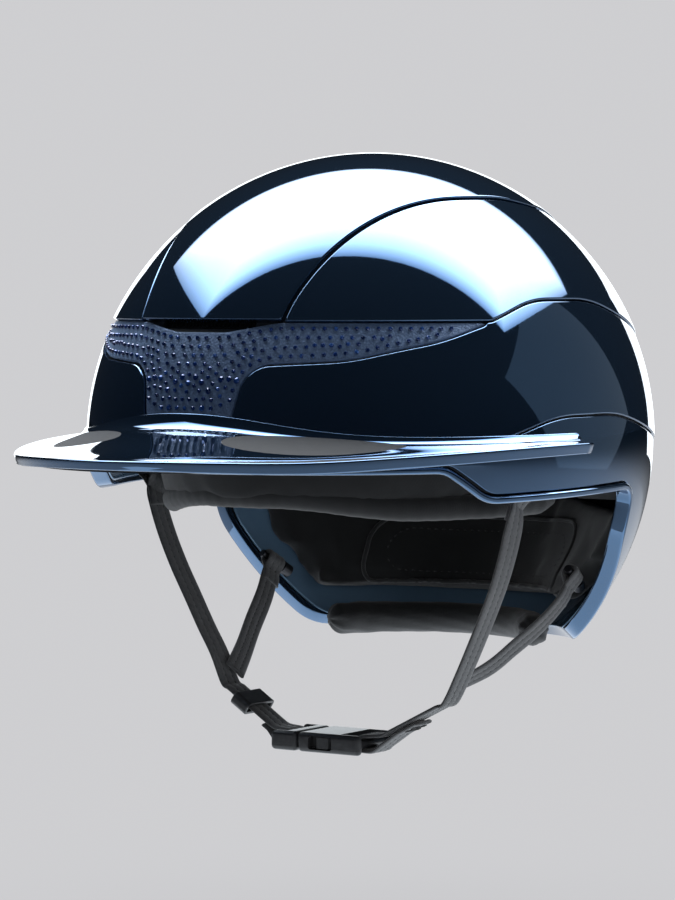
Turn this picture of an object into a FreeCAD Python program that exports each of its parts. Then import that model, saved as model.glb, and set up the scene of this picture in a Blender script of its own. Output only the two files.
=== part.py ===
import FreeCAD, Part

import math
import os

# Riding helmet, millimetres. Origin at the centre of the shell's ellipsoid, which is where the head sits.
# The front faces -Y, the wearer's left is +X and up is +Z.

Vector = FreeCAD.Vector

# --- driving dimensions -------------------------------------------------------------------------
SHELL_HALF_WIDTH = 115.0        # semi axis along X of the outermost shell surface
SHELL_HALF_LENGTH = 142.0       # semi axis along Y
SHELL_HEIGHT = 124.0            # semi axis along Z, also the radius of the "round" working space
REACH = 170.0                   # half size of cutting prisms, clear of the whole helmet

# Radii of the layers in round space, where the helmet is a sphere of SHELL_HEIGHT
CAVITY_R = 84.5                 # head cavity inside the comfort padding
PAD_OUTER_R = 94.3
PATCH_INNER_R = 94.45
PATCH_OUTER_R = 94.85
LINER_INNER_R = 95.0
LINER_OUTER_R = 116.1
COVER_INNER_R = 116.4
COVER_OUTER_R = 117.7
STRUCT_INNER_R = 118.0
STRUCT_OUTER_R = 121.0
PANEL_INNER_R = 121.2
BAND_OUTER_R = 122.4
SKIRT_OUTER_R = 122.6
MID_OUTER_R = 123.2
SIDE_PANEL_OUTER_R = 123.9
SPINE_OUTER_R = 124.6
BRIM_INNER_R = 123.5
TRIM_INNER_R = 117.0
TRIM_OUTER_R = 124.4

SEAM_GAP = 0.9                  # groove between neighbouring shell panels
BAND_GAP = 0.7                  # groove round the front band insert
TRIM_HEIGHT = 3.0               # depth of the moulded trim along the shell's lower edge
TRIM_CLEARANCE = 0.3
COVER_HEIGHT = 28.0             # height of the gloss facing inside the lower edge

SPINE_FRONT_Z = 54.0            # lower ends of the spine panel
SPINE_REAR_Z = 38.5
VENT_HALF_WIDTH = 25.0
VENT_OPENING_HALF_WIDTH = 34.0  # gap left between the panels in front of the vent
VENT_OPENING_BOTTOM_Z = 45.0
VENT_Y = 60.0                   # the vents are cut from here outwards, clear of the crown
FRONT_VENT_Z = (49.8, 52.9)
REAR_VENT_Z = (34.4, 37.6)
VENT_CHANNEL_RISE = 6.0         # extra height of the channel through the liner behind a vent
VENT_MESH_CLEARANCE = 0.3
VENT_MESH_INSET = 0.4

CRYSTAL_R = 0.95
LARGE_CRYSTAL_R = 1.35          # every third stone low on the middle of the band
LARGE_CRYSTAL_TOP_Z = 31.0
CRYSTAL_HEIGHT = 1.1
CRYSTAL_TABLE = 0.55            # flat top of a stone, as a share of its foot
CRYSTAL_PITCH = 4.1             # along a row
CRYSTAL_ROWS = (2.6, 6.1, 9.6, 13.1)    # distances of the rows from the band's edge
CRYSTAL_GAP = 3.3               # least distance between any two stones
CRYSTAL_LOWEST_Z = 17.9
CRYSTAL_SETTING = 0.06          # clearance under a stone

BRIM_HALF_WIDTH = 122.0
BRIM_REACH = 197.0
BRIM_ROOT = 110.0               # radius at which the brim's cone starts, inside the shell
BRIM_EDGE_Z = -0.9              # top of the brim at the front of its outer edge
BRIM_SLOPE = 0.262
BRIM_TILT = 1.3                 # degrees by which the brim rises towards its ends
BRIM_THICKNESS = 4.6
BRIM_END_Y = -20.0
BRIM_ROUNDING = 2.0
BRIM_LINING_THICKNESS = 1.0
BRIM_LINING_INSET = 5.0
BRIM_LINING_GAP = 0.3

PAD_TOP_Z = 34.0
PAD_BOTTOM_Z = -24.0
PAD_REAR_Y = 28.0
CROWN_PAD_Z = 66.0
PATCH_R = 10.0
CROWN_PATCH_R = 14.0
PATCH_DEGREES = (-70, -35, 0, 35, 70)   # from straight ahead
PATCH_LIFT = 0.08               # rise of a patch's centre, as a share of its distance
OCCIPITAL_INNER_R = 104.0
OCCIPITAL_OUTER_R = 115.7
OCCIPITAL_Z = (-74.0, -28.5)
OCCIPITAL_FRONT_Y = 39.5
OCCIPITAL_NOTCH_X = 70.0        # corners left free for the rear straps
OCCIPITAL_NOTCH_Y = 47.0
OCCIPITAL_NOTCH_TOP_Z = -51.0
NAPE_ROLL_PATH_R = 69.5
NAPE_ROLL_R = 7.0
NAPE_ROLL_Z = -84.0
NAPE_ROLL_START = 33.0          # degrees from the wearer's left
NAPE_ROLL_SPAN = 114.0

# Harness. Each side hangs on two pins that share one line, so it can swing outwards.
FRONT_PIN = Vector(95.0, -34.0, -17.0)
REAR_PIN = Vector(79.0, 35.0, -58.0)
STRAP_JUNCTION = Vector(58.0, -26.0, -103.0)
PIN_R = 1.5
PIN_CLEARANCE = 0.35
WEBBING = 1.8
FRONT_STRAP_WIDTH = 12.5
REAR_STRAP_WIDTH = 11.0
CHIN_STRAP_WIDTH = 16.0
STRAP_LAYER_OFFSET = 1.6
STRAP_END_SHORT = 2.0           # the side straps end this far above the junction, where the chin strap bends
CHIN_STRAP_OVERLAP = 10.0       # length of chin strap sewn against the front strap
BOSS_LENGTH = 5.0
BOSS_R = 2.9
PIN_HEAD_R = 1.7
PIN_HEAD_LENGTH = 1.2

# Side-release buckle, lying along X under the chin
BUCKLE_Y = -26.0
BUCKLE_Z = -128.5
BUCKLE_HALF_WIDTH = 14.0
BUCKLE_HEIGHT = 8.5
BUCKLE_ROUNDING = 2.0
BUCKLE_MOUTH_X = -14.0
HOUSING_CAVITY_END_X = 5.0
HOUSING_BLOCK_END_X = 7.0
HOUSING_END_X = 18.0
HOUSING_BAR_X = 14.8
PLUG_SHOULDER_X = -14.4
PLUG_BLOCK_X = -20.2
PLUG_END_X = -28.0
PLUG_BAR_X = -25.0
BAR_R = 1.9
ARM_THICKNESS = 2.6
CAVITY_HALF_WIDTH = 11.0
CAVITY_HALF_HEIGHT = 2.9
WINDOW_X = (-8.0, 4.0)
PRONG_Y = 9.4
PRONG_THICKNESS = 2.2
PRONG_HEIGHT = 5.0
PRONG_ROOT_X = -14.1
PRONG_TIP_X = 3.5
BARB_DEPTH = 2.6
BARB_LENGTH = 8.0
TONGUE_HALF_WIDTH = 3.0
TONGUE_END_X = 0.0
TONGUE_HEIGHT = 4.4

DIVIDER_LENGTH = 9.0
DIVIDER_WALL = 1.6
DIVIDER_CLEARANCE = 0.5


# --- small geometry helpers ---------------------------------------------------------------------
def along_x(u, v):
    return Vector(-REACH, u, v)


def along_y(u, v):
    return Vector(u, -REACH, v)


def along_z(u, v):
    return Vector(u, v, -REACH)


EXTRUDE = {
    along_x: Vector(2 * REACH, 0, 0),
    along_y: Vector(0, 2 * REACH, 0),
    along_z: Vector(0, 0, 2 * REACH),
}


def rounded_wire(corners, to_point):
    """Closed outline of straight runs, each corner (u, v, radius) rounded by a tangent arc."""
    count = len(corners)
    runs = []
    for i in range(count):
        u, v, radius = corners[i]
        here = to_point(u, v)
        back = to_point(*corners[i - 1][:2]).sub(here)
        ahead = to_point(*corners[(i + 1) % count][:2]).sub(here)
        back.normalize()
        ahead.normalize()
        half = 0.5 * math.acos(max(-1.0, min(1.0, back.dot(ahead))))
        if radius <= 0 or half > math.radians(89.9):
            runs.append((here, None, here))
            continue
        setback = radius / math.tan(half)
        middle = back + ahead
        middle.normalize()
        start = here + back * setback
        end = here + ahead * setback
        top = here + middle * (radius / math.sin(half) - radius)
        runs.append((start, top, end))
    edges = []
    for i in range(count):
        start, top, end = runs[i]
        if top is not None:
            edges.append(Part.Arc(start, top, end).toShape())
        following = runs[(i + 1) % count][0]
        if end.distanceToPoint(following) > 1e-6:
            edges.append(Part.makeLine(end, following))
    return Part.Wire(edges)


def prism(corners, to_point, grow=0.0):
    """Outline extruded right through the helmet, optionally grown or shrunk by an offset."""
    face = Part.Face(rounded_wire(corners, to_point))
    if grow:
        face = Part.Face(face.makeOffset2D(grow).Wires[0])
    return face.extrude(EXTRUDE[to_point])


def ribbon_corners(path, thickness):
    """Outline of a strap seen edge on, from a centre line of (u, v, bend radius) points."""
    half = thickness / 2.0
    sides = []
    for sign in (1.0, -1.0):
        side = []
        for i, (u, v, radius) in enumerate(path):
            before = path[i - 1] if i > 0 else None
            after = path[i + 1] if i + 1 < len(path) else None
            into = unit_2d(before, path[i]) if before else unit_2d(path[i], after)
            out = unit_2d(path[i], after) if after else into
            bend = (into[0] + out[0], into[1] + out[1])
            size = math.hypot(*bend)
            mid = (bend[0] / size, bend[1] / size)
            normal = (-mid[1], mid[0])
            miter = half / (normal[0] * -into[1] + normal[1] * into[0])
            turn = into[0] * out[1] - into[1] * out[0]
            corner_r = radius - half if turn * sign > 0 else radius + half
            side.append((u + sign * normal[0] * miter, v + sign * normal[1] * miter,
                         corner_r if radius > 0 else 0.0))
        sides.append(side)
    return sides[0] + sides[1][::-1]


def unit_2d(a, b):
    du, dv = b[0] - a[0], b[1] - a[1]
    size = math.hypot(du, dv)
    return du / size, dv / size


def layer(inner_r, outer_r):
    return Part.makeSphere(outer_r).cut(Part.makeSphere(inner_r))


def block(x, y, z):
    """Box from (low, high) pairs."""
    return Part.makeBox(x[1] - x[0], y[1] - y[0], z[1] - z[0], Vector(x[0], y[0], z[0]))


def between_z(low, high):
    return block((-REACH, REACH), (-REACH, REACH), (low, high))


def oval(shape):
    """Round working space to the helmet's real, longer than wide, shape."""
    scale = FreeCAD.Matrix()
    scale.scale(SHELL_HALF_WIDTH / SHELL_HEIGHT, SHELL_HALF_LENGTH / SHELL_HEIGHT, 1.0)
    return shape.transformGeometry(scale)


def rod(start, end, radius):
    direction = end.sub(start)
    return Part.makeCylinder(radius, direction.Length, start, direction)


def mirrored(shape):
    return shape.mirror(Vector(0, 0, 0), Vector(1, 0, 0))


def joined(shapes):
    whole = shapes[0]
    for shape in shapes[1:]:
        whole = whole.fuse(shape)
    return whole.removeSplitter()


# --- outlines shared by several pieces (round space) --------------------------------------------
# Seen from the side, (y, z): everything above the lower edge, with the temple lobe and the rear drop
LOWER_EDGE = [(-REACH, -8, 0), (-74, -8, 6), (-58, -20.8, 14), (25.5, -18.6, 7), (26.5, -40, 30),
              (44, -86, 10), (REACH, -95, 0), (REACH, REACH, 0), (-REACH, REACH, 0)]
# Seen from the side: above the seam under the two upper side panels
UPPER_SEAM = [(-REACH, 53.4, 0), (-48, 53.4, 6), (-26, 61.9, 50), (11, 61.9, 85),
              (REACH, 20.6, 0), (REACH, REACH, 0), (-REACH, REACH, 0)]
# Seen from the side: below the seam over the lower skirt
LOWER_SEAM = [(-110, -15.3, 0), (-27, 13, 60), (12, 13, 100), (REACH, -22.7, 0), (REACH, -REACH, 0),
              (-110, -REACH, 0)]
# Seen from above, (x, y): the spine panel, narrow over the brow and widest over the crown
SPINE_SIDE = [(36, -REACH, 0), (36.8, -106, 60), (66, -16, 90), (69, 20, 60), (44, 100, 60), (44, REACH, 0)]
SPINE = SPINE_SIDE + [(-x, y, r) for x, y, r in reversed(SPINE_SIDE)]
# Seen from the front, (x, z): half of the T-shaped band insert, from the top middle round to the leg
BAND_SIDE = [(13, 48.8, 22), (36, 52.7, 30), (100.5, 52.5, 0.8), (92, 45.3, 25), (66, 37.6, 60),
             (27, 35.6, 13), (22.4, 12, 0)]
BAND = BAND_SIDE + [(-x, z, r) for x, z, r in reversed(BAND_SIDE)]
# Seen from the side: above the lower end of the impact liner
LINER_EDGE = [(-REACH, -3, 0), (-62, -3, 12), (-52, -6, 12), (22, -6, 10), (32, -25, 10), (REACH, -26, 0),
              (REACH, REACH, 0), (-REACH, REACH, 0)]


def above_edge(inset):
    return prism(LOWER_EDGE, along_x, -inset)


def front_half():
    return block((-REACH, REACH), (-REACH, 0), (-REACH, REACH))


def vent_slot(z_range, front, shrink=0.0):
    y = (-REACH, -VENT_Y) if front else (VENT_Y, REACH)
    half = VENT_HALF_WIDTH - shrink
    return block((-half, half), y, (z_range[0] + shrink, z_range[1] - shrink))


# --- hard shell ---------------------------------------------------------------------------------
def make_outer_shell():
    shell = layer(STRUCT_INNER_R, STRUCT_OUTER_R).common(above_edge(TRIM_HEIGHT + TRIM_CLEARANCE))
    for z_range, front in ((FRONT_VENT_Z, True), (REAR_VENT_Z, False)):
        shell = shell.cut(vent_slot(z_range, front))
    return oval(shell)


def make_spine_panel():
    panel = layer(PANEL_INNER_R, SPINE_OUTER_R).common(prism(SPINE, along_z))
    panel = panel.cut(block((-REACH, REACH), (-REACH, 0), (-REACH, SPINE_FRONT_Z)))
    panel = panel.cut(block((-REACH, REACH), (0, REACH), (-REACH, SPINE_REAR_Z)))
    return oval(panel)


def make_upper_panel():
    """Side panel on the wearer's left; the right one is its mirror image."""
    panel = layer(PANEL_INNER_R, SIDE_PANEL_OUTER_R).common(prism(UPPER_SEAM, along_x))
    panel = panel.cut(prism(SPINE, along_z, SEAM_GAP))
    return oval(panel.common(block((0, REACH), (-REACH, REACH), (-REACH, REACH))))


def make_mid_shell():
    wrap = layer(PANEL_INNER_R, MID_OUTER_R).common(above_edge(TRIM_HEIGHT + TRIM_CLEARANCE))
    wrap = wrap.cut(prism(UPPER_SEAM, along_x, SEAM_GAP))
    wrap = wrap.cut(prism(LOWER_SEAM, along_x, SEAM_GAP))
    insert_opening = prism(BAND, along_y, BAND_GAP).common(front_half())
    vent_opening = block((-VENT_OPENING_HALF_WIDTH, VENT_OPENING_HALF_WIDTH), (-REACH, -VENT_Y),
                         (VENT_OPENING_BOTTOM_Z, SPINE_FRONT_Z))
    return oval(wrap.cut(insert_opening).cut(vent_opening))


def make_lower_skirt():
    skirt = layer(PANEL_INNER_R, SKIRT_OUTER_R).common(above_edge(TRIM_HEIGHT + TRIM_CLEARANCE))
    return oval(skirt.common(prism(LOWER_SEAM, along_x)))


def make_edge_trim():
    trim = layer(TRIM_INNER_R, TRIM_OUTER_R).common(above_edge(0))
    return oval(trim.cut(above_edge(TRIM_HEIGHT)))


def make_inner_rim_cover():
    cover = layer(COVER_INNER_R, COVER_OUTER_R).common(above_edge(TRIM_HEIGHT + TRIM_CLEARANCE))
    return oval(cover.cut(above_edge(COVER_HEIGHT)))


def make_vent_mesh(z_range, front):
    sheet = layer(STRUCT_INNER_R + VENT_MESH_INSET, STRUCT_OUTER_R - VENT_MESH_INSET)
    return oval(sheet.common(vent_slot(z_range, front, VENT_MESH_CLEARANCE)))


# --- front band and its crystals ----------------------------------------------------------------
def make_front_band():
    band = layer(PANEL_INNER_R, BAND_OUTER_R).common(prism(BAND, along_y))
    return oval(band.common(front_half()))


def on_band(u, v):
    """Point of the band's surface, in round space, that is seen at (x, z) = (u, v) from the front."""
    return Vector(u, -math.sqrt(BAND_OUTER_R ** 2 - u * u - v * v), v)


def true_place(point):
    """From round space to the helmet's own, oval, place."""
    wide = SHELL_HALF_WIDTH / SHELL_HEIGHT
    deep = SHELL_HALF_LENGTH / SHELL_HEIGHT
    return Vector(point.x * wide, point.y * deep, point.z)


def stone_places():
    """Rows that follow the band's edge, then single stones wherever a gap is left, all on the left half."""
    outline = Part.Face(rounded_wire(BAND, along_y))
    seen = []
    for inset in CRYSTAL_ROWS:
        for wire in outline.makeOffset2D(-inset).Wires:
            seen.extend((p.x, p.z, CRYSTAL_PITCH) for p in wire.discretize(Distance=0.5))
    field = Part.Face(outline.makeOffset2D(-CRYSTAL_ROWS[0]).Wires[0])
    fine = [0.5 * k for k in range(220)]
    seen.extend((x, z, CRYSTAL_GAP) for x in fine for z in fine)
    places = []
    for x, z, room in seen:
        if x < 0 or z < CRYSTAL_LOWEST_Z or x * x + z * z > 0.98 * BAND_OUTER_R ** 2:
            continue
        here = true_place(on_band(x, z))
        on_centre_line = x <= 0.5
        if 2 * here.x < CRYSTAL_GAP and not on_centre_line:
            continue
        if any(here.distanceToPoint(other) < max(CRYSTAL_GAP, room * (room == same)) for other, same in places):
            continue
        if room == CRYSTAL_GAP and not field.isInside(Vector(x, -REACH, z), 0.01, True):
            continue
        places.append((here, room))
    return [here for here, room in places]


def make_band_crystals():
    """Cut stones, each standing square to the surface; the right half mirrors the left."""
    stones = []
    for count, place in enumerate(stone_places()):
        large = place.z < LARGE_CRYSTAL_TOP_Z and count % 3 == 0
        radius = LARGE_CRYSTAL_R if large else CRYSTAL_R
        stone = make_stone(place, radius)
        stones.append(stone)
        if place.x > CRYSTAL_R:
            stones.append(mirrored(stone))
    return Part.makeCompound(stones)


def make_stone(place, radius):
    half_axes = (SHELL_HALF_WIDTH, SHELL_HALF_LENGTH, SHELL_HEIGHT)
    outward = Vector(*[value / half ** 2 for value, half in zip(place, half_axes)])
    outward.normalize()
    foot = place + outward * CRYSTAL_SETTING
    return Part.makeCone(radius, radius * CRYSTAL_TABLE, CRYSTAL_HEIGHT, foot, outward)


# --- brim ---------------------------------------------------------------------------------------
def brim_ring(top_drop, thickness, edge_inset, rounding):
    """Cone-shaped ring under which the shell is cut away, squeezed sideways to the brim's outline."""
    outer = BRIM_REACH - edge_inset
    rise = BRIM_SLOPE * (outer - BRIM_ROOT)
    base = BRIM_EDGE_Z - top_drop + BRIM_SLOPE * edge_inset
    points = [Vector(outer, 0, base), Vector(BRIM_ROOT, 0, base + rise),
              Vector(BRIM_ROOT, 0, base + rise - thickness), Vector(outer, 0, base - thickness)]
    ring = Part.Face(Part.makePolygon(points + points[:1])).revolve(Vector(0, 0, 0), Vector(0, 0, 1), 360)
    if rounding:
        circles = [edge for edge in ring.Edges if isinstance(edge.Curve, Part.Circle)]
        ring = ring.makeFillet(rounding, [edge for edge in circles if abs(edge.Curve.Radius - outer) < 0.01])
    squeeze = FreeCAD.Matrix()
    squeeze.scale(BRIM_HALF_WIDTH / BRIM_REACH, 1.0, 1.0)
    ring = ring.transformGeometry(squeeze)
    ring.rotate(Vector(0, -BRIM_REACH, BRIM_EDGE_Z), Vector(1, 0, 0), BRIM_TILT)
    front_part = ring.common(block((-REACH, REACH), (-2 * REACH, BRIM_END_Y), (-REACH, REACH)))
    return front_part.cut(oval(Part.makeSphere(BRIM_INNER_R)))


def make_brim():
    return brim_ring(0.0, BRIM_THICKNESS, 0.0, BRIM_ROUNDING)


def make_brim_lining():
    return brim_ring(BRIM_THICKNESS + BRIM_LINING_GAP, BRIM_LINING_THICKNESS, BRIM_LINING_INSET, 0.0)


# --- impact liner and comfort padding -----------------------------------------------------------
def make_impact_liner():
    liner = layer(LINER_INNER_R, LINER_OUTER_R).common(prism(LINER_EDGE, along_x))
    for z_range, front in ((FRONT_VENT_Z, True), (REAR_VENT_Z, False)):
        channel = (z_range[0], z_range[1] + VENT_CHANNEL_RISE)
        liner = liner.cut(vent_slot(channel, front, 4 * VENT_MESH_CLEARANCE))
    return oval(liner)


def make_headband_pad():
    pad = layer(CAVITY_R, PAD_OUTER_R).common(between_z(PAD_BOTTOM_Z, PAD_TOP_Z))
    return oval(pad.common(block((-REACH, REACH), (-REACH, PAD_REAR_Y), (-REACH, REACH))))


def make_crown_pad():
    return oval(layer(CAVITY_R, PAD_OUTER_R).common(between_z(CROWN_PAD_Z, REACH)))


def make_hook_patches():
    """Hook-and-loop discs that hold the padding to the impact liner."""
    sheet = layer(PATCH_INNER_R, PATCH_OUTER_R)
    discs = []
    for degrees in PATCH_DEGREES:
        aim = Vector(math.sin(math.radians(degrees)), -math.cos(math.radians(degrees)), PATCH_LIFT)
        discs.append(sheet.common(rod(aim * CAVITY_R, aim * LINER_OUTER_R, PATCH_R)))
    discs.append(sheet.common(rod(Vector(0, 0, CAVITY_R), Vector(0, 0, LINER_OUTER_R), CROWN_PATCH_R)))
    return oval(Part.makeCompound([solid for disc in discs for solid in disc.Solids]))


def make_occipital_pad():
    pad = layer(OCCIPITAL_INNER_R, OCCIPITAL_OUTER_R).common(between_z(*OCCIPITAL_Z))
    pad = pad.common(block((-REACH, REACH), (OCCIPITAL_FRONT_Y, REACH), (-REACH, REACH)))
    for side in (1, -1):
        x = sorted((side * OCCIPITAL_NOTCH_X, side * REACH))
        pad = pad.cut(block(x, (0, OCCIPITAL_NOTCH_Y), (-REACH, OCCIPITAL_NOTCH_TOP_Z)))
    return oval(pad)


def make_nape_roll():
    """Soft roll along the bottom of the neck opening, with closed round ends."""
    centre = Vector(NAPE_ROLL_PATH_R, 0, NAPE_ROLL_Z)
    circle = Part.Face(Part.Wire(Part.makeCircle(NAPE_ROLL_R, centre, Vector(0, 1, 0))))
    circle.rotate(Vector(0, 0, 0), Vector(0, 0, 1), NAPE_ROLL_START)
    roll = circle.revolve(Vector(0, 0, 0), Vector(0, 0, 1), NAPE_ROLL_SPAN)
    return oval(roll)


# --- harness ------------------------------------------------------------------------------------
def pin_line():
    line = REAR_PIN.sub(FRONT_PIN)
    line.normalize()
    return line


def side_normal():
    """Outward normal of the triangle of straps on the wearer's left."""
    normal = REAR_PIN.sub(STRAP_JUNCTION).cross(FRONT_PIN.sub(STRAP_JUNCTION))
    normal.normalize()
    return normal if normal.x > 0 else normal * -1


def strap_loop_half(pin, width):
    """Half length, along the pin, of the loop of a strap that leaves the pin at a slant."""
    run = STRAP_JUNCTION.sub(pin)
    run.normalize()
    return 0.5 * width / math.sqrt(1 - run.dot(pin_line()) ** 2)


def make_side_strap(pin, width, end_offset):
    """Flat strap sewn into a loop on its pin, running down to the junction."""
    line, normal = pin_line(), side_normal()
    half = strap_loop_half(pin, width)
    start = pin - normal * (PIN_R + PIN_CLEARANCE + WEBBING / 2)
    goal = STRAP_JUNCTION + normal * end_offset
    run = goal.sub(start)
    run.normalize()
    end = goal - run * STRAP_END_SHORT
    across = run.cross(normal)
    across.normalize()
    if across.dot(line) < 0:
        across = across * -1
    flat = run.cross(across)
    flat.normalize()
    corners = [start - line * half, start + line * half]
    corners += [end + across * (width / 2), end - across * (width / 2)]
    corners = [c - flat * (WEBBING / 2) for c in corners]
    # the loop's slanted edge is brought into the strap's plane
    corners = [c - flat * flat.dot(c.sub(corners[2])) for c in corners]
    web = Part.Face(Part.makePolygon(corners + corners[:1])).extrude(flat * WEBBING)
    loop = rod(pin - line * half, pin + line * half, PIN_R + PIN_CLEARANCE + WEBBING)
    bore = rod(pin - line * 3 * half, pin + line * 3 * half, PIN_R + PIN_CLEARANCE)
    return web.fuse(loop).cut(bore)


def make_hanger(pin, width, boss_side):
    """Pin with a head at one end and, at the other, the boss that is moulded into the shell's edge."""
    line = pin_line() * boss_side
    half = strap_loop_half(pin, width) + PIN_CLEARANCE
    boss = rod(pin + line * half, pin + line * (half + BOSS_LENGTH), BOSS_R)
    shaft = rod(pin - line * half, pin + line * half, PIN_R)
    head = rod(pin - line * (half + PIN_HEAD_LENGTH), pin - line * half, PIN_HEAD_R)
    return joined([boss, shaft, head])


def chin_strap(path):
    """Sewn strap seen edge on in X and Z, with its width along Y."""
    def near_edge(u, v):
        return Vector(u, BUCKLE_Y - CHIN_STRAP_WIDTH / 2, v)
    outline = rounded_wire(ribbon_corners(path, WEBBING), near_edge)
    return Part.Face(outline).extrude(Vector(0, CHIN_STRAP_WIDTH, 0))


def chin_path(side, bar_x):
    """Centre line from the sewn junction to the buckle bar, round it and back underneath."""
    normal = side_normal()
    down = Vector(normal.z, 0, -normal.x)
    down.normalize()
    top = STRAP_JUNCTION + normal * (STRAP_LAYER_OFFSET + WEBBING + 1.1)
    start = top - down * CHIN_STRAP_OVERLAP
    turn_r = BAR_R + 0.3 + WEBBING / 2
    over = turn_r + 0.2
    towards = 1 if side > 0 else -1
    knee_x = abs(bar_x) + 9 if side > 0 else abs(bar_x) + 7
    return [
        (side * start.x, start.z, 0),
        (side * top.x, top.z, 8),
        (side * knee_x, BUCKLE_Z + turn_r + 1.0, 8),
        (bar_x - towards * turn_r, BUCKLE_Z + turn_r, turn_r - 0.01),
        (bar_x - towards * turn_r, BUCKLE_Z - over + 0.2, turn_r - 0.01),
        (side * (knee_x + 2), BUCKLE_Z - turn_r, 0),
    ]


def make_chin_strap(side):
    return chin_strap(chin_path(side, HOUSING_BAR_X if side > 0 else PLUG_BAR_X))


def divider_frame(side):
    """Middle and direction of the straight run of the chin strap, on the given side."""
    path = chin_path(side, PLUG_BAR_X)
    upper = Vector(path[1][0], BUCKLE_Y, path[1][1])
    lower = Vector(path[2][0], BUCKLE_Y, path[2][1])
    return upper, lower


def make_strap_divider():
    """Moulded keeper that slides along the strap on the wearer's right."""
    upper, lower = divider_frame(-1)
    run = lower.sub(upper)
    length = run.Length
    run.normalize()
    up = Vector(-run.z, 0, run.x)
    if up.z < 0:
        up = up * -1
    middle = upper + run * (0.5 * length)
    inner = (CHIN_STRAP_WIDTH / 2 + DIVIDER_CLEARANCE, WEBBING / 2 + DIVIDER_CLEARANCE)
    outer = (inner[0] + DIVIDER_WALL, inner[1] + DIVIDER_WALL)
    return slab(middle, run, up, DIVIDER_LENGTH, outer).cut(slab(middle, run, up, 3 * DIVIDER_LENGTH, inner))


def slab(middle, run, up, length, half_section):
    """Bar centred on middle, along run, half_section = (half width along Y, half thickness along up)."""
    half_width, half_thick = half_section
    origin = middle - run * (length / 2)
    y_axis = Vector(0, 1, 0)
    corners = [origin + y_axis * (a * half_width) + up * (b * half_thick)
               for a, b in ((-1, -1), (1, -1), (1, 1), (-1, 1))]
    return Part.Face(Part.makePolygon(corners + corners[:1])).extrude(run * length)


# --- buckle -------------------------------------------------------------------------------------
def buckle_block(x, half_width, half_height):
    y = (BUCKLE_Y - half_width, BUCKLE_Y + half_width)
    return block(x, y, (BUCKLE_Z - half_height, BUCKLE_Z + half_height))


def rounded_block(x, half_width, half_height, radius):
    body = buckle_block(x, half_width, half_height)
    edges = [e for e in body.Edges if abs(e.tangentAt(0).x) > 0.99]
    return body.makeFillet(radius, edges)


def bar_across(x):
    half = BUCKLE_HALF_WIDTH - 1
    return rod(Vector(x, BUCKLE_Y - half, BUCKLE_Z), Vector(x, BUCKLE_Y + half, BUCKLE_Z), BAR_R)


def make_buckle_housing():
    half_height = BUCKLE_HEIGHT / 2
    body = rounded_block((BUCKLE_MOUTH_X, HOUSING_END_X), BUCKLE_HALF_WIDTH, half_height, BUCKLE_ROUNDING)
    slot_x = (HOUSING_BLOCK_END_X, HOUSING_END_X + 1)
    webbing_slot = buckle_block(slot_x, BUCKLE_HALF_WIDTH - ARM_THICKNESS, REACH)
    cavity = buckle_block((BUCKLE_MOUTH_X - 1, HOUSING_CAVITY_END_X), CAVITY_HALF_WIDTH, CAVITY_HALF_HEIGHT)
    windows = buckle_block(WINDOW_X, REACH, CAVITY_HALF_HEIGHT)
    body = body.cut(webbing_slot).cut(cavity).cut(windows)
    return body.fuse(bar_across(HOUSING_BAR_X))


def make_buckle_plug():
    half_height = BUCKLE_HEIGHT / 2
    body = rounded_block((PLUG_END_X, PLUG_SHOULDER_X), BUCKLE_HALF_WIDTH, half_height, BUCKLE_ROUNDING)
    webbing_slot = buckle_block((PLUG_END_X - 1, PLUG_BLOCK_X), BUCKLE_HALF_WIDTH - ARM_THICKNESS, REACH)
    tongue = buckle_block((PLUG_SHOULDER_X - 1, TONGUE_END_X), TONGUE_HALF_WIDTH, TONGUE_HEIGHT / 2)
    return joined([body.cut(webbing_slot), bar_across(PLUG_BAR_X), tongue])


def make_prong(side):
    """Springy arm of the plug, whose barb catches in the side window of the housing."""
    def point(x, y):
        return Vector(x, BUCKLE_Y + side * y, BUCKLE_Z - PRONG_HEIGHT / 2)
    inner = PRONG_Y - PRONG_THICKNESS / 2
    outer = PRONG_Y + PRONG_THICKNESS / 2
    barb = outer + BARB_DEPTH
    barb_x = PRONG_TIP_X - BARB_LENGTH
    root_x = PRONG_ROOT_X + PRONG_THICKNESS / 2
    outline = [point(root_x, inner), point(PRONG_TIP_X, inner), point(PRONG_TIP_X, outer),
               point(PRONG_TIP_X - 2, barb), point(barb_x, barb), point(barb_x, outer), point(root_x, outer)]
    root = Part.Arc(outline[-1], point(PRONG_ROOT_X, PRONG_Y), outline[0]).toShape()
    face = Part.Face(Part.Wire(Part.makePolygon(outline).Edges + [root]))
    return face.extrude(Vector(0, 0, PRONG_HEIGHT))


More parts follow.
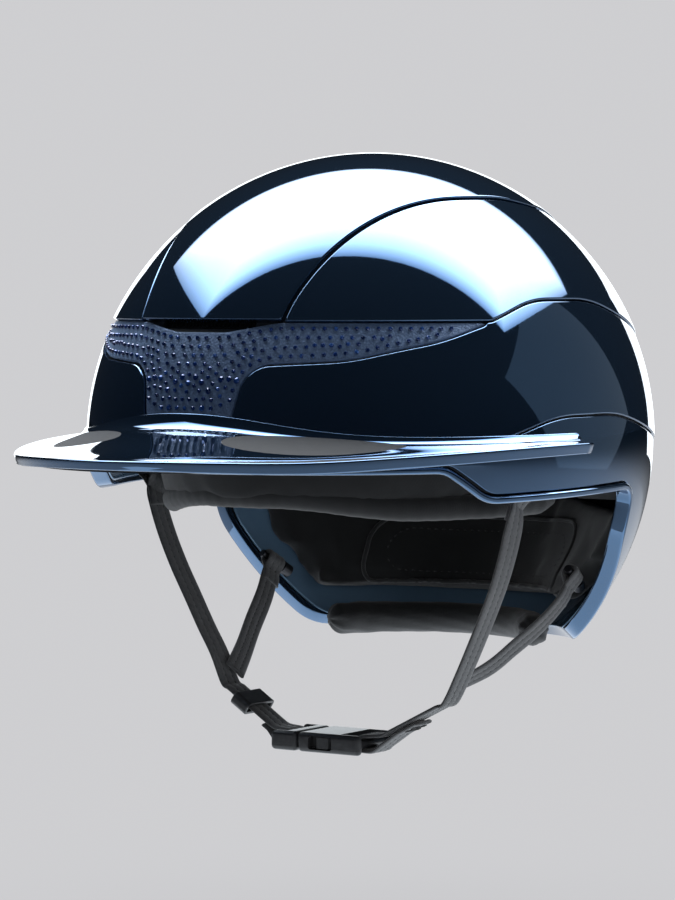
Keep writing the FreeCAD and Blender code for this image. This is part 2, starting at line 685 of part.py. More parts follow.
# --- all nodes ----------------------------------------------------------------------------------
def make_all():
    upper_left = make_upper_panel()
    front_strap = make_side_strap(FRONT_PIN, FRONT_STRAP_WIDTH, STRAP_LAYER_OFFSET)
    rear_strap = make_side_strap(REAR_PIN, REAR_STRAP_WIDTH, -STRAP_LAYER_OFFSET)
    front_hanger = make_hanger(FRONT_PIN, FRONT_STRAP_WIDTH, -1)
    rear_hanger = make_hanger(REAR_PIN, REAR_STRAP_WIDTH, 1)
    return {
        "outer_shell": make_outer_shell(),
        "spine_panel": make_spine_panel(),
        "upper_panel_left": upper_left,
        "upper_panel_right": mirrored(upper_left),
        "mid_shell": make_mid_shell(),
        "lower_skirt": make_lower_skirt(),
        "edge_trim": make_edge_trim(),
        "inner_rim_cover": make_inner_rim_cover(),
        "front_vent_mesh": make_vent_mesh(FRONT_VENT_Z, True),
        "rear_vent_mesh": make_vent_mesh(REAR_VENT_Z, False),
        "front_band": make_front_band(),
        "band_crystals": make_band_crystals(),
        "brim": make_brim(),
        "brim_lining": make_brim_lining(),
        "impact_liner": make_impact_liner(),
        "headband_pad": make_headband_pad(),
        "crown_pad": make_crown_pad(),
        "hook_patches": make_hook_patches(),
        "occipital_pad": make_occipital_pad(),
        "nape_roll": make_nape_roll(),
        "hanger_front_left": front_hanger,
        "hanger_rear_left": rear_hanger,
        "hanger_front_right": mirrored(front_hanger),
        "hanger_rear_right": mirrored(rear_hanger),
        "front_strap_left": front_strap,
        "rear_strap_left": rear_strap,
        "chin_strap_left": make_chin_strap(1),
        "front_strap_right": mirrored(front_strap),
        "rear_strap_right": mirrored(rear_strap),
        "chin_strap_right": make_chin_strap(-1),
        "strap_divider": make_strap_divider(),
        "buckle_housing": make_buckle_housing(),
        "buckle_plug": make_buckle_plug(),
        "prong_front": make_prong(-1),
        "prong_rear": make_prong(1),
    }


os.makedirs("parts", exist_ok=True)
for name, shape in make_all().items():
    solids = shape.Solids
    print(name, "solids", len(solids), "valid", shape.isValid(), "cm3", round(shape.Volume / 1000.0, 2))
    whole = solids[0] if len(solids) == 1 else Part.makeCompound(solids)
    whole.exportStep(os.path.join("parts", name + ".step"))
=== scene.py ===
import math
import random

import bmesh
import bpy
import numpy as np
from mathutils import Matrix, Vector
from mathutils.bvhtree import BVHTree
from mathutils.geometry import delaunay_2d_cdt


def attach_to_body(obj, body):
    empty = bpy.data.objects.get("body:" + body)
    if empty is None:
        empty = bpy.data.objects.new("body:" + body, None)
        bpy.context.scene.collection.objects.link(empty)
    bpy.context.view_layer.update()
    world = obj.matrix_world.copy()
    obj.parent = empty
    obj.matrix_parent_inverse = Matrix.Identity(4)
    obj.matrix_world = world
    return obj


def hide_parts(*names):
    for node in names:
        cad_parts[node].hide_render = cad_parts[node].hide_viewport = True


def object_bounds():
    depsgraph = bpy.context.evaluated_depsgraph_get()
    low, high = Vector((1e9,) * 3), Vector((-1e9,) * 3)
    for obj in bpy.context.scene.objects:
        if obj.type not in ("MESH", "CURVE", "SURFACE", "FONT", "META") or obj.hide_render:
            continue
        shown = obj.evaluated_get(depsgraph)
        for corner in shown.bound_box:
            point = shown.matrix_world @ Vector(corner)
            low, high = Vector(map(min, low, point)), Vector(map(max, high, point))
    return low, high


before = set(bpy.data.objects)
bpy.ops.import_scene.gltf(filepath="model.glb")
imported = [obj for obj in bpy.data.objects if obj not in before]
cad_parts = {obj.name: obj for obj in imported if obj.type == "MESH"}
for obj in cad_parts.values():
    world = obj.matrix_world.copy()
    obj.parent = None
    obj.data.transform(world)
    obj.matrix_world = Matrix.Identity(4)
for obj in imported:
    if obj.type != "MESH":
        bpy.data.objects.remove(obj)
cad_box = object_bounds()
random.seed(7)

# The shell is modelled in round space, where it is a sphere of HEIGHT millimetres, and then stretched to
# the helmet's oval and brought to metres. The front faces -Y and the wearer's left is +X.
MM = 0.001
HALF_WIDTH, HALF_LENGTH, HEIGHT = 115.0, 142.0, 124.0
STRETCH = np.array([HALF_WIDTH / HEIGHT, HALF_LENGTH / HEIGHT, 1.0])
FAR = 170.0

PANEL_IN, BAND_OUT, SKIRT_OUT, MID_OUT, SIDE_OUT, SPINE_OUT = 121.2, 122.4, 122.6, 123.2, 123.9, 124.6
COVER_IN, COVER_OUT = 116.4, 117.7
TRIM_IN, TRIM_OUT = 117.0, 124.4
SEAM_GAP, BAND_GAP = 0.9, 0.7
TRIM_HEIGHT, TRIM_CLEARANCE, COVER_HEIGHT = 3.0, 0.3, 28.0
SPINE_FRONT_Z, SPINE_REAR_Z = 54.0, 38.5
VENT_OPENING_HALF = 34.0

# Outlines, as corners with their rounding radius: seen from the side (y, z)
LOWER_EDGE = [(-FAR, -8, 0), (-74, -8, 6), (-58, -20.8, 14), (25.5, -18.6, 7), (26.5, -40, 30),
              (44, -86, 10), (FAR, -95, 0), (FAR, FAR, 0), (-FAR, FAR, 0)]
UPPER_SEAM = [(-FAR, 53.4, 0), (-48, 53.4, 6), (-26, 61.9, 50), (11, 61.9, 85), (FAR, 20.6, 0),
              (FAR, FAR, 0), (-FAR, FAR, 0)]
LOWER_SEAM = [(-110, -15.3, 0), (-27, 13, 60), (12, 13, 100), (FAR, -22.7, 0), (FAR, -FAR, 0),
              (-110, -FAR, 0)]
# seen from above (x, y)
SPINE_SIDE = [(36, -FAR, 0), (36.8, -106, 60), (66, -16, 90), (69, 20, 60), (44, 100, 60), (44, FAR, 0)]
SPINE = SPINE_SIDE + [(-x, y, r) for x, y, r in reversed(SPINE_SIDE)]
# seen from the front (x, z)
BAND_SIDE = [(13, 48.8, 22), (36, 52.7, 30), (100.5, 52.5, 0.8), (92, 45.3, 25), (66, 37.6, 60),
             (27, 35.6, 13), (22.4, 12, 0)]
BAND = BAND_SIDE + [(-x, z, r) for x, z, r in reversed(BAND_SIDE)]


# --- outlines and regions -----------------------------------------------------------------------
def rounded(corners, arc_step=math.radians(4)):
    """Polyline through rounded corners (u, v, radius), as an array."""
    points = []
    count = len(corners)
    for i in range(count):
        here = np.array(corners[i][:2], float)
        radius = corners[i][2]
        back = np.array(corners[i - 1][:2], float) - here
        ahead = np.array(corners[(i + 1) % count][:2], float) - here
        back /= np.linalg.norm(back)
        ahead /= np.linalg.norm(ahead)
        half = 0.5 * math.acos(max(-1.0, min(1.0, float(back @ ahead))))
        if radius <= 0 or half > math.radians(89.9):
            points.append(here)
            continue
        middle = (back + ahead) / np.linalg.norm(back + ahead)
        centre = here + middle * radius / math.sin(half)
        start = here + back * radius / math.tan(half) - centre
        end = here + ahead * radius / math.tan(half) - centre
        a0 = math.atan2(start[1], start[0])
        turn = (math.atan2(end[1], end[0]) - a0 + math.pi) % (2 * math.pi) - math.pi
        steps = max(2, int(abs(turn) / arc_step) + 1)
        for k in range(steps + 1):
            angle = a0 + turn * k / steps
            points.append(centre + radius * np.array([math.cos(angle), math.sin(angle)]))
    return np.array(points)


OUTLINES = {name: rounded(corners) for name, corners in (
    ("lower_edge", LOWER_EDGE), ("upper_seam", UPPER_SEAM), ("lower_seam", LOWER_SEAM),
    ("spine", SPINE), ("band", BAND))}
AXES = {"lower_edge": (1, 2), "upper_seam": (1, 2), "lower_seam": (1, 2), "spine": (0, 1), "band": (0, 2)}


def inside(name, points):
    """Signed distance, positive inside, from an outline seen along its own axis."""
    outline = OUTLINES[name]
    flat = points[:, AXES[name]]
    a, b = outline, np.roll(outline, -1, axis=0)
    best = np.full(len(flat), 1e9)
    odd = np.zeros(len(flat), bool)
    for p, q in zip(a, b):
        run = q - p
        along = np.clip(((flat - p) @ run) / max(run @ run, 1e-12), 0, 1)
        best = np.minimum(best, np.hypot(*(flat - p - along[:, None] * run).T))
        crosses = (p[1] > flat[:, 1]) != (q[1] > flat[:, 1])
        if p[1] != q[1]:
            at = p[0] + (flat[:, 1] - p[1]) * (q[0] - p[0]) / (q[1] - p[1])
            odd ^= crosses & (flat[:, 0] < at)
    return np.where(odd, best, -best)


def at_front(points, value, elsewhere=1e3):
    return np.where(points[:, 1] < 0, value, elsewhere)


def spine_region(p):
    ends = np.where(p[:, 1] < 0, p[:, 2] - SPINE_FRONT_Z, p[:, 2] - SPINE_REAR_Z)
    return np.minimum(inside("spine", p), ends)


def side_region(p):
    return np.minimum(np.minimum(inside("upper_seam", p), -inside("spine", p) - SEAM_GAP), p[:, 0])


def mid_region(p):
    value = np.minimum(inside("lower_edge", p) - TRIM_HEIGHT - TRIM_CLEARANCE,
                       -inside("upper_seam", p) - SEAM_GAP)
    value = np.minimum(value, -inside("lower_seam", p) - SEAM_GAP)
    value = np.minimum(value, at_front(p, -inside("band", p) - BAND_GAP))
    vent = np.maximum(np.abs(p[:, 0]) - VENT_OPENING_HALF, 45.0 - p[:, 2])
    value = np.minimum(value, at_front(p, vent))
    return np.minimum(value, at_front(p, np.abs(p[:, 0]) - 1.0))


def skirt_region(p):
    return np.minimum(inside("lower_edge", p) - TRIM_HEIGHT - TRIM_CLEARANCE, inside("lower_seam", p))


def band_region(p):
    return at_front(p, inside("band", p), -1e3)


def cover_region(p):
    edge = inside("lower_edge", p)
    value = np.minimum(edge - TRIM_HEIGHT - TRIM_CLEARANCE, COVER_HEIGHT - edge)
    return np.minimum(value, at_front(p, np.abs(p[:, 0]) - 1.0))


# --- charts: flat maps of the sphere ------------------------------------------------------------
class Crown:
    """Map centred on the crown, distances from it kept true."""
    def flat(self, p, r):
        angle = np.arccos(np.clip(p[:, 2] / r, -1, 1))
        size = np.hypot(p[:, 0], p[:, 1]) + 1e-12
        return np.stack([r * angle * p[:, 0] / size, r * angle * p[:, 1] / size], 1)

    def solid(self, q, r):
        size = np.hypot(q[:, 0], q[:, 1]) + 1e-12
        angle = size / r
        return r * np.stack([np.sin(angle) * q[:, 0] / size, np.sin(angle) * q[:, 1] / size,
                             np.cos(angle)], 1)

    def extent(self, r):
        return -1.9 * r, 1.9 * r, -1.9 * r, 1.9 * r


class Belt:
    """Map round the equator, opened opposite the given side (+1 rear, -1 front)."""
    def __init__(self, side):
        self.side = side

    def flat(self, p, r):
        turn = np.arctan2(p[:, 0], self.side * p[:, 1])
        return np.stack([r * turn, r * np.arcsin(np.clip(p[:, 2] / r, -1, 1))], 1)

    def solid(self, q, r):
        turn, lift = q[:, 0] / r, q[:, 1] / r
        return r * np.stack([np.cos(lift) * np.sin(turn), self.side * np.cos(lift) * np.cos(turn),
                             np.sin(lift)], 1)

    def extent(self, r):
        return -math.pi * r, math.pi * r, -0.95 * r, 0.75 * r


def slope_on_sphere(region, p):
    """Gradient of a region's value within the sphere's surface."""
    n = p / np.linalg.norm(p, axis=1)[:, None]
    step = 0.02
    grad = np.stack([(region(p + step * e) - region(p - step * e)) / (2 * step) for e in np.eye(3)], 1)
    grad = np.clip(grad, -3, 3)
    return grad - n * np.sum(grad * n, 1)[:, None]


def surface_distance(region, p):
    slope = np.linalg.norm(slope_on_sphere(region, p), axis=1)
    return region(p) / np.maximum(slope, 0.3)


def contour_loops(values, xs, ys, level):
    """Closed polylines where a gridded value crosses a level."""
    v = values - level
    v[v == 0] = 1e-9
    links = {}
    positive = v > 0
    cells = np.argwhere((positive[:-1, :-1] != positive[1:, :-1]) | (positive[:-1, :-1] != positive[:-1, 1:])
                        | (positive[1:, 1:] != positive[1:, :-1]) | (positive[1:, 1:] != positive[:-1, 1:]))
    for i, j in cells:
        corners = [(i, j), (i + 1, j), (i + 1, j + 1), (i, j + 1)]
        crossed = []
        for k in range(4):
            a, b = corners[k], corners[(k + 1) % 4]
            if positive[a] != positive[b]:
                crossed.append((min(a, b), max(a, b)))
        pairs = [crossed] if len(crossed) == 2 else [crossed[:2], crossed[2:]]
        for a, b in pairs:
            links.setdefault(a, []).append(b)
            links.setdefault(b, []).append(a)

    def place(edge):
        (i, j), (k, l) = edge
        t = v[i, j] / (v[i, j] - v[k, l])
        return xs[i] + t * (xs[k] - xs[i]), ys[j] + t * (ys[l] - ys[j])

    loops, seen = [], set()
    for first in links:
        if first in seen:
            continue
        chain, here = [], first
        while here is not None and here not in seen:
            seen.add(here)
            chain.append(place(here))
            here = next((n for n in links[here] if n not in seen), None)
        if len(chain) > 8:
            loops.append(np.array(chain))
    return loops


def resampled(loop, spacing):
    """Points at even steps round a closed loop."""
    return stepped(np.vstack([loop, loop[:1]]), spacing, 12, endpoint=False)


def pulled_to_level(region, p, r, level):
    for _ in range(4):
        slope = slope_on_sphere(region, p)
        size = np.maximum(np.linalg.norm(slope, axis=1), 0.3)
        off = np.clip((region(p) / size - level), -1.0, 1.0)
        p = p - (off / size)[:, None] * slope
        p = p * (r / np.linalg.norm(p, axis=1))[:, None]
    return p


# --- mesh helpers -------------------------------------------------------------------------------
def to_world(points):
    """Round-space millimetres to the helmet's metres."""
    return np.asarray(points) * STRETCH * MM


def world_normals(normals):
    return unit_rows(np.asarray(normals) / STRETCH)


def unit_rows(vectors):
    """Every row scaled to length one."""
    return vectors / np.linalg.norm(vectors, axis=1)[:, None]


def ring_faces(rings, size, closed=False):
    """Faces of a skin whose verts come as rings of one size; an open skin gets a cap at each end."""
    faces = []
    for i in range(rings if closed else rings - 1):
        j = (i + 1) % rings
        for k in range(size):
            m = (k + 1) % size
            faces.append((i * size + k, i * size + m, j * size + m, j * size + k))
    if not closed:
        faces.append(tuple(range(size))[::-1])
        faces.append(tuple((rings - 1) * size + k for k in range(size)))
    return faces


def lengths_along(points):
    return np.r_[0, np.cumsum(np.linalg.norm(np.diff(points, axis=0), axis=1))]


def stepped(points, spacing, least=2, endpoint=True):
    """Points at even steps along a polyline."""
    lengths = lengths_along(points)
    at = np.linspace(0, lengths[-1], max(least, int(lengths[-1] / spacing)), endpoint=endpoint)
    return np.stack([np.interp(at, lengths, column) for column in points.T], 1)


def add_object(name, verts, faces, smooth=True):
    mesh = bpy.data.meshes.new(name)
    mesh.from_pydata([tuple(map(float, v)) for v in verts], [], [tuple(map(int, f)) for f in faces])
    mesh.update()
    if smooth:
        mesh.polygons.foreach_set("use_smooth", [True] * len(mesh.polygons))
    obj = bpy.data.objects.new(name, mesh)
    bpy.context.scene.collection.objects.link(obj)
    return obj


def panel(name, region, chart, r_show, r_back, fillet, spacing=3.0):
    """Closed shell panel whose shown surface has rolled edges. r_show below r_back faces inwards."""
    r = r_show
    x0, x1, y0, y1 = chart.extent(r)
    grid_step = 1.5
    xs, ys = np.arange(x0 + 0.3, x1, grid_step), np.arange(y0, y1, grid_step)
    gx, gy = np.meshgrid(xs, ys, indexing="ij")
    flat_grid = np.stack([gx.ravel(), gy.ravel()], 1)
    values = region(chart.solid(flat_grid, r)).reshape(gx.shape)
    values[0, :] = values[-1, :] = values[:, 0] = values[:, -1] = -5.0
    points, edges = [], []
    for share in (0.0, 0.1, 0.3, 0.6, 1.0):
        level = share * fillet
        for loop in contour_loops(values.copy(), xs, ys, level):
            solid = pulled_to_level(region, chart.solid(resampled(loop, 1.2), r), r, level)
            first = len(points)
            points.extend(chart.flat(solid, r))
            count = len(solid)
            edges.extend((first + k, first + (k + 1) % count) for k in range(count))
    rows = np.arange(y0, y1, spacing * 0.866)
    columns = np.arange(x0, x1, spacing)
    fill = np.concatenate([np.stack([columns + (k % 2) * spacing / 2, np.full(len(columns), y)], 1)
                           for k, y in enumerate(rows)])
    deep = surface_distance(region, chart.solid(fill, r)) > fillet + 0.45 * spacing
    points.extend(fill[deep])
    result = delaunay_2d_cdt([Vector(p) for p in points], edges, [], 0, 1e-5)
    flat = np.array([tuple(v) for v in result[0]])
    tris = np.array([f for f in result[2] if len(f) == 3])
    middle = chart.solid(flat[tris].mean(1), r)
    tris = tris[region(middle) > 0.0]
    p = chart.solid(flat, r)
    depth = np.clip(surface_distance(region, p) / fillet, 0, 1)
    unit = p / r
    sense = 1.0 if r_show > r_back else -1.0
    drop = fillet * (1 - np.sqrt(np.clip(1 - (1 - depth) ** 2, 0, 1)))
    outward = -slope_on_sphere(region, p)
    outward /= np.maximum(np.linalg.norm(outward, axis=1), 1e-9)[:, None]
    tilt = (1 - depth)[:, None]
    shown = sense * unit * np.sqrt(1 - np.clip(tilt, 0, 1) ** 2) + outward * tilt
    top = unit * (r - sense * drop)[:, None]
    bottom = unit * r_back
    # turn every triangle so that it faces the shown side
    a, b, c = top[tris[:, 0]], top[tris[:, 1]], top[tris[:, 2]]
    facing = np.sum(np.cross(b - a, c - a) * a, 1) * sense
    tris[facing < 0] = tris[facing < 0][:, ::-1]
    count = len(flat)
    sides = {}
    for tri in tris:
        for k in range(3):
            edge = (tri[k], tri[(k + 1) % 3])
            if (edge[1], edge[0]) in sides:
                del sides[(edge[1], edge[0])]
            else:
                sides[edge] = True
    walls = [(v, u, u + count, v + count) for u, v in sides]
    faces = [tuple(t) for t in tris] + [tuple(t[::-1] + count) for t in tris] + walls
    normals = [shown[v] for t in tris for v in t]
    normals += [-sense * unit[v] for t in tris for v in t[::-1]]
    normals += [outward[v % count] for w in walls for v in w]
    verts = np.concatenate([top, bottom])
    used = np.unique(np.concatenate([np.ravel(f) for f in faces]))
    renumber = {int(u): i for i, u in enumerate(used)}
    obj = add_object(name, to_world(verts[used]), [tuple(renumber[int(v)] for v in f) for f in faces])
    obj.data.normals_split_custom_set([tuple(n) for n in world_normals(np.array(normals))])
    return obj


def sweep(path, normals, sides, profile, closed):
    """Skin of a profile of (outward, sideways) offsets carried along a path, in millimetres."""
    verts = [p + n * u + s * v for p, n, s in zip(path, normals, sides) for u, v in profile]
    return np.array(verts), ring_faces(len(path), len(profile), closed)


# --- materials ----------------------------------------------------------------------------------
class Shader:
    """Small helper that builds a node material round one Principled shader."""
    def __init__(self, name, **sockets):
        self.material = bpy.data.materials.new(name)
        self.material.use_nodes = True
        self.nodes = self.material.node_tree.nodes
        self.links = self.material.node_tree.links
        self.main = self.nodes["Principled BSDF"]
        self.set(self.main, **sockets)

    def set(self, node, **sockets):
        for key, value in sockets.items():
            socket = node.inputs[key.replace("_", " ")]
            socket.default_value = (*value, 1.0) if isinstance(value, tuple) and len(value) == 3 else value

    def add(self, kind, **sockets):
        node = self.nodes.new(kind)
        self.set(node, **sockets)
        return node

    def link(self, source, output, target, socket):
        self.links.new(source.outputs[output], target.inputs[socket])

    def place(self, scale=1.0):
        """Texture place: the object's own position in metres times a scale."""
        coords = self.add("ShaderNodeTexCoord")
        mapping = self.add("ShaderNodeMapping")
        mapping.inputs["Scale"].default_value = (scale,) * 3
        self.link(coords, "Object", mapping, "Vector")
        return mapping

    def noise(self, scale, detail=4.0, roughness=0.5, place=None):
        node = self.add("ShaderNodeTexNoise", Scale=scale, Detail=detail, Roughness=roughness)
        self.link(place or self.place(), "Vector", node, "Vector")
        return node

    def ramp(self, source, output, stops):
        node = self.add("ShaderNodeValToRGB")
        elements = node.color_ramp.elements
        while len(elements) < len(stops):
            elements.new(0.5)
        for element, (at, colour) in zip(elements, stops):
            element.position = at
            element.color = (*colour, 1.0)
        self.link(source, output, node, "Fac")
        return node

    def base(self, noise, *stops):
        """Base colour from a noise, through (place, colour) stops."""
        self.link(self.ramp(noise, "Fac", stops), "Color", self.main, "Base Color")

    def bump(self, source, output, strength, distance, after=None):
        node = self.add("ShaderNodeBump", Strength=strength, Distance=distance)
        self.link(source, output, node, "Height")
        if after is not None:
            self.link(after, "Normal", node, "Normal")
        self.link(node, "Normal", self.main, "Normal")
        return node


def gloss_navy():
    """Metallic navy paint under a clear coat, with fine fleck and a faint orange peel."""
    s = Shader("gloss_navy", Metallic=0.95, Roughness=0.03, Coat_Weight=1.0, Coat_Roughness=0.02,
               Coat_IOR=1.45)
    s.base(s.noise(14.0, 3.0), (0.3, (0.075, 0.150, 0.270)), (0.75, (0.085, 0.170, 0.300)))
    fleck = s.noise(2600.0, 2.0)
    rough = s.ramp(fleck, "Fac", [(0.3, (0.02,) * 3), (0.8, (0.06,) * 3)])
    s.link(rough, "Color", s.main, "Roughness")
    peel = s.noise(240.0, 2.0)
    s.bump(peel, "Fac", 0.012, 0.0003)
    return s.material


def gloss_inside():
    """Lighter, softer enamel on the inner face of the rim."""
    s = Shader("gloss_inside", Metallic=0.4, Roughness=0.16, Coat_Weight=1.0, Coat_Roughness=0.03,
               Coat_IOR=1.45)
    s.base(s.noise(26.0, 3.0), (0.3, (0.17, 0.30, 0.46)), (0.75, (0.21, 0.36, 0.54)))
    peel = s.noise(300.0, 2.0)
    s.bump(peel, "Fac", 0.02, 0.0003)
    return s.material


def band_leather():
    s = Shader("band_leather", Roughness=0.42, Sheen_Weight=0.5, Sheen_Roughness=0.35, Metallic=0.35)
    s.set(s.main, Sheen_Tint=(0.45, 0.62, 0.9))
    grain = s.add("ShaderNodeTexVoronoi", Scale=900.0)
    s.link(s.place(), "Vector", grain, "Vector")
    s.base(s.noise(1400.0, 5.0), (0.3, (0.062, 0.098, 0.175)), (0.7, (0.115, 0.180, 0.310)))
    first = s.bump(grain, "Distance", 0.5, 0.0003)
    glitter = s.noise(3000.0, 2.0)
    s.bump(glitter, "Fac", 0.35, 0.0002, after=first)
    return s.material


def sapphire():
    s = Shader("sapphire", Roughness=0.04, IOR=1.77, Metallic=0.45, Coat_Weight=1.0, Coat_Roughness=0.02)
    s.base(s.noise(160.0, 1.0), (0.25, (0.002, 0.010, 0.05)), (0.55, (0.006, 0.03, 0.16)),
           (0.8, (0.04, 0.13, 0.42)))
    return s.material


def plain_black(name, colour, roughness, grain_scale, grain_depth, **more):
    """Dark material with a fine mottle and grain."""
    s = Shader(name, Roughness=roughness, **more)
    dark, light = (tuple(c * k for c in colour) for k in (0.75, 1.3))
    s.base(s.noise(grain_scale * 0.4, 4.0), (0.3, dark), (0.7, light))
    grain = s.noise(grain_scale, 4.0, 0.6)
    s.bump(grain, "Fac", 0.6, grain_depth)
    return s.material


def woven(name, colour, pitch, depth, sheen):
    """Cloth: two crossed sets of threads in the object's own space, with sheen."""
    s = Shader(name, Roughness=0.85, Sheen_Weight=sheen, Sheen_Roughness=0.5)
    place = s.place()
    waves = []
    for direction in ("X", "Z"):
        wave = s.add("ShaderNodeTexWave", Scale=pitch, Distortion=1.5, Detail=1.0)
        wave.bands_direction = direction
        s.link(place, "Vector", wave, "Vector")
        waves.append(wave)
    both = s.add("ShaderNodeMath")
    both.operation = "ADD"
    s.links.new(waves[0].outputs["Fac"], both.inputs[0])
    s.links.new(waves[1].outputs["Fac"], both.inputs[1])
    dark, light = (tuple(c * k for c in colour) for k in (0.8, 1.25))
    s.base(s.noise(90.0, 4.0), (0.3, dark), (0.7, light))
    s.bump(both, "Value", 0.5, depth)
    return s.material


GLOSS, GLOSS_INSIDE, LEATHER, SAPPHIRE = gloss_navy(), gloss_inside(), band_leather(), sapphire()
FABRIC = woven("lining_fabric", (0.0085, 0.0085, 0.0090), 900.0, 0.0001, 0.25)
PIPING = woven("piping", (0.015, 0.015, 0.016), 1100.0, 0.0001, 0.35)
BRIM_FABRIC = woven("brim_underside", (0.010, 0.011, 0.014), 900.0, 0.0001, 0.15)
HOOK_FABRIC = woven("hook_and_loop", (0.014, 0.014, 0.015), 1300.0, 0.0003, 0.4)
SOFT_LEATHER = plain_black("soft_leather", (0.008, 0.008, 0.0085), 0.55, 1500.0, 0.0003, Sheen_Weight=0.2)
STRAP_LEATHER = plain_black("strap_leather", (0.052, 0.052, 0.054), 0.62, 1900.0, 0.0003, Sheen_Weight=0.25)
THREAD = plain_black("thread", (0.010, 0.010, 0.010), 0.8, 2400.0, 0.0001)
FOAM = plain_black("foam", (0.016, 0.016, 0.017), 0.8, 420.0, 0.0006)
SHELL_CORE = plain_black("shell_core", (0.008, 0.010, 0.014), 0.5, 700.0, 0.0002)
BUCKLE_PLASTIC = plain_black("buckle_plastic", (0.022, 0.022, 0.0235), 0.32, 1200.0, 0.00008)
PIN_METAL = plain_black("pin_metal", (0.05, 0.05, 0.055), 0.35, 900.0, 0.00005, Metallic=0.9)
MESH_METAL = plain_black("vent_mesh", (0.01, 0.011, 0.013), 0.45, 1500.0, 0.0001, Metallic=0.6)


def attach(obj, body, slot_name, *nodes):
    """Puts a piece on its body and hides the CAD nodes it stands for; slot_name is not used."""
    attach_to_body(obj, body)
    if nodes:
        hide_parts(*nodes)


def finish_piece(obj, material, body, slot_name, *nodes):
    obj.data.materials.clear()
    obj.data.materials.append(material)
    attach(obj, body, slot_name, *nodes)


# --- shell panels -------------------------------------------------------------------------------
ROLL = 0.65
CROWN, REAR, FRONT = Crown(), Belt(1), Belt(-1)


def make_shell():
    spine = panel("spine_shell", spine_region, CROWN, SPINE_OUT, PANEL_IN, ROLL)
    finish_piece(spine, GLOSS, "helmet", "gloss_shell", "spine_panel")
    left = panel("side_shell_left", side_region, CROWN, SIDE_OUT, PANEL_IN, ROLL)
    finish_piece(left, GLOSS, "helmet", "gloss_shell", "upper_panel_left")
    right = panel("side_shell_right", lambda p: side_region(p * (-1, 1, 1)), CROWN, SIDE_OUT, PANEL_IN, ROLL)
    finish_piece(right, GLOSS, "helmet", "gloss_shell", "upper_panel_right")
    mid = panel("wrap_shell", mid_region, REAR, MID_OUT, PANEL_IN, ROLL)
    finish_piece(mid, GLOSS, "helmet", "gloss_shell", "mid_shell")
    skirt = panel("skirt_shell", skirt_region, REAR, SKIRT_OUT, PANEL_IN, ROLL * 0.8)
    finish_piece(skirt, GLOSS, "helmet", "gloss_shell", "lower_skirt")
    cover = panel("rim_lining_shell", cover_region, REAR, COVER_IN, COVER_OUT, 0.6)
    finish_piece(cover, GLOSS_INSIDE, "helmet", "gloss_shell", "inner_rim_cover")
    band = panel("brow_band", band_region, FRONT, BAND_OUT, PANEL_IN, 0.8, 2.5)
    finish_piece(band, LEATHER, "helmet", "band_leather", "front_band")


def edge_path(inset, r):
    """Loop on the sphere that runs inset inside the shell's lower edge."""
    line = rounded(LOWER_EDGE, math.radians(3))
    keep = [i for i in range(len(line)) if line[i][1] < FAR - 1]
    line = line[keep]
    fine = []
    for p, q in zip(line[:-1], line[1:]):
        steps = max(1, int(np.linalg.norm(q - p) / 1.5))
        fine.extend(p + (q - p) * k / steps for k in range(steps))
    fine = np.array(fine)
    run = unit_rows(np.gradient(fine, axis=0))
    fine = fine + inset * np.stack([-run[:, 1], run[:, 0]], 1)
    room = r * r - np.sum(fine ** 2, 1)
    fine, room = fine[room > 0], room[room > 0]
    half = np.stack([np.sqrt(room), fine[:, 0], fine[:, 1]], 1)
    ends = [np.array([0, -math.sqrt(r * r - half[0, 2] ** 2), half[0, 2]]),
            np.array([0, math.sqrt(r * r - half[-1, 2] ** 2), half[-1, 2]])]
    other = half[::-1] * (-1, 1, 1)
    return resampled(np.vstack([ends[0], half, ends[1], other]), 2.0)


def path_frames(path):
    """Outward normal and sideways direction at every point of a closed path on the sphere."""
    tangent = unit_rows(np.roll(path, -1, axis=0) - np.roll(path, 1, axis=0))
    normal = unit_rows(path)
    return normal, unit_rows(np.cross(tangent, normal))


def rounded_rectangle(u0, u1, v0, v1, radius, steps=5):
    points = []
    for cu, cv, start in ((u1 - radius, v1 - radius, 0), (u0 + radius, v1 - radius, 90),
                          (u0 + radius, v0 + radius, 180), (u1 - radius, v0 + radius, 270)):
        for k in range(steps + 1):
            angle = math.radians(start + 90 * k / steps)
            points.append((cu + radius * math.cos(angle), cv + radius * math.sin(angle)))
    return points


def make_trim():
    middle_r = 0.5 * (TRIM_IN + TRIM_OUT)
    path = edge_path(0.5 * TRIM_HEIGHT, middle_r)
    normal, side = path_frames(path)
    half = 0.5 * (TRIM_OUT - TRIM_IN)
    profile = rounded_rectangle(-half, half, -0.5 * TRIM_HEIGHT, 0.5 * TRIM_HEIGHT, 1.1)
    verts, faces = sweep(path, normal, side, profile, True)
    obj = add_object("edge_bead", to_world(verts), faces)
    face_outwards(obj)
    finish_piece(obj, GLOSS, "helmet", "gloss_shell", "edge_trim")


def face_outwards(obj):
    bm = bmesh.new()
    bm.from_mesh(obj.data)
    bmesh.ops.recalc_face_normals(bm, faces=bm.faces)
    bm.to_mesh(obj.data)
    bm.free()


# --- stones -------------------------------------------------------------------------------------
STONE_HEIGHT = 1.1
STONE_SIDES = 8


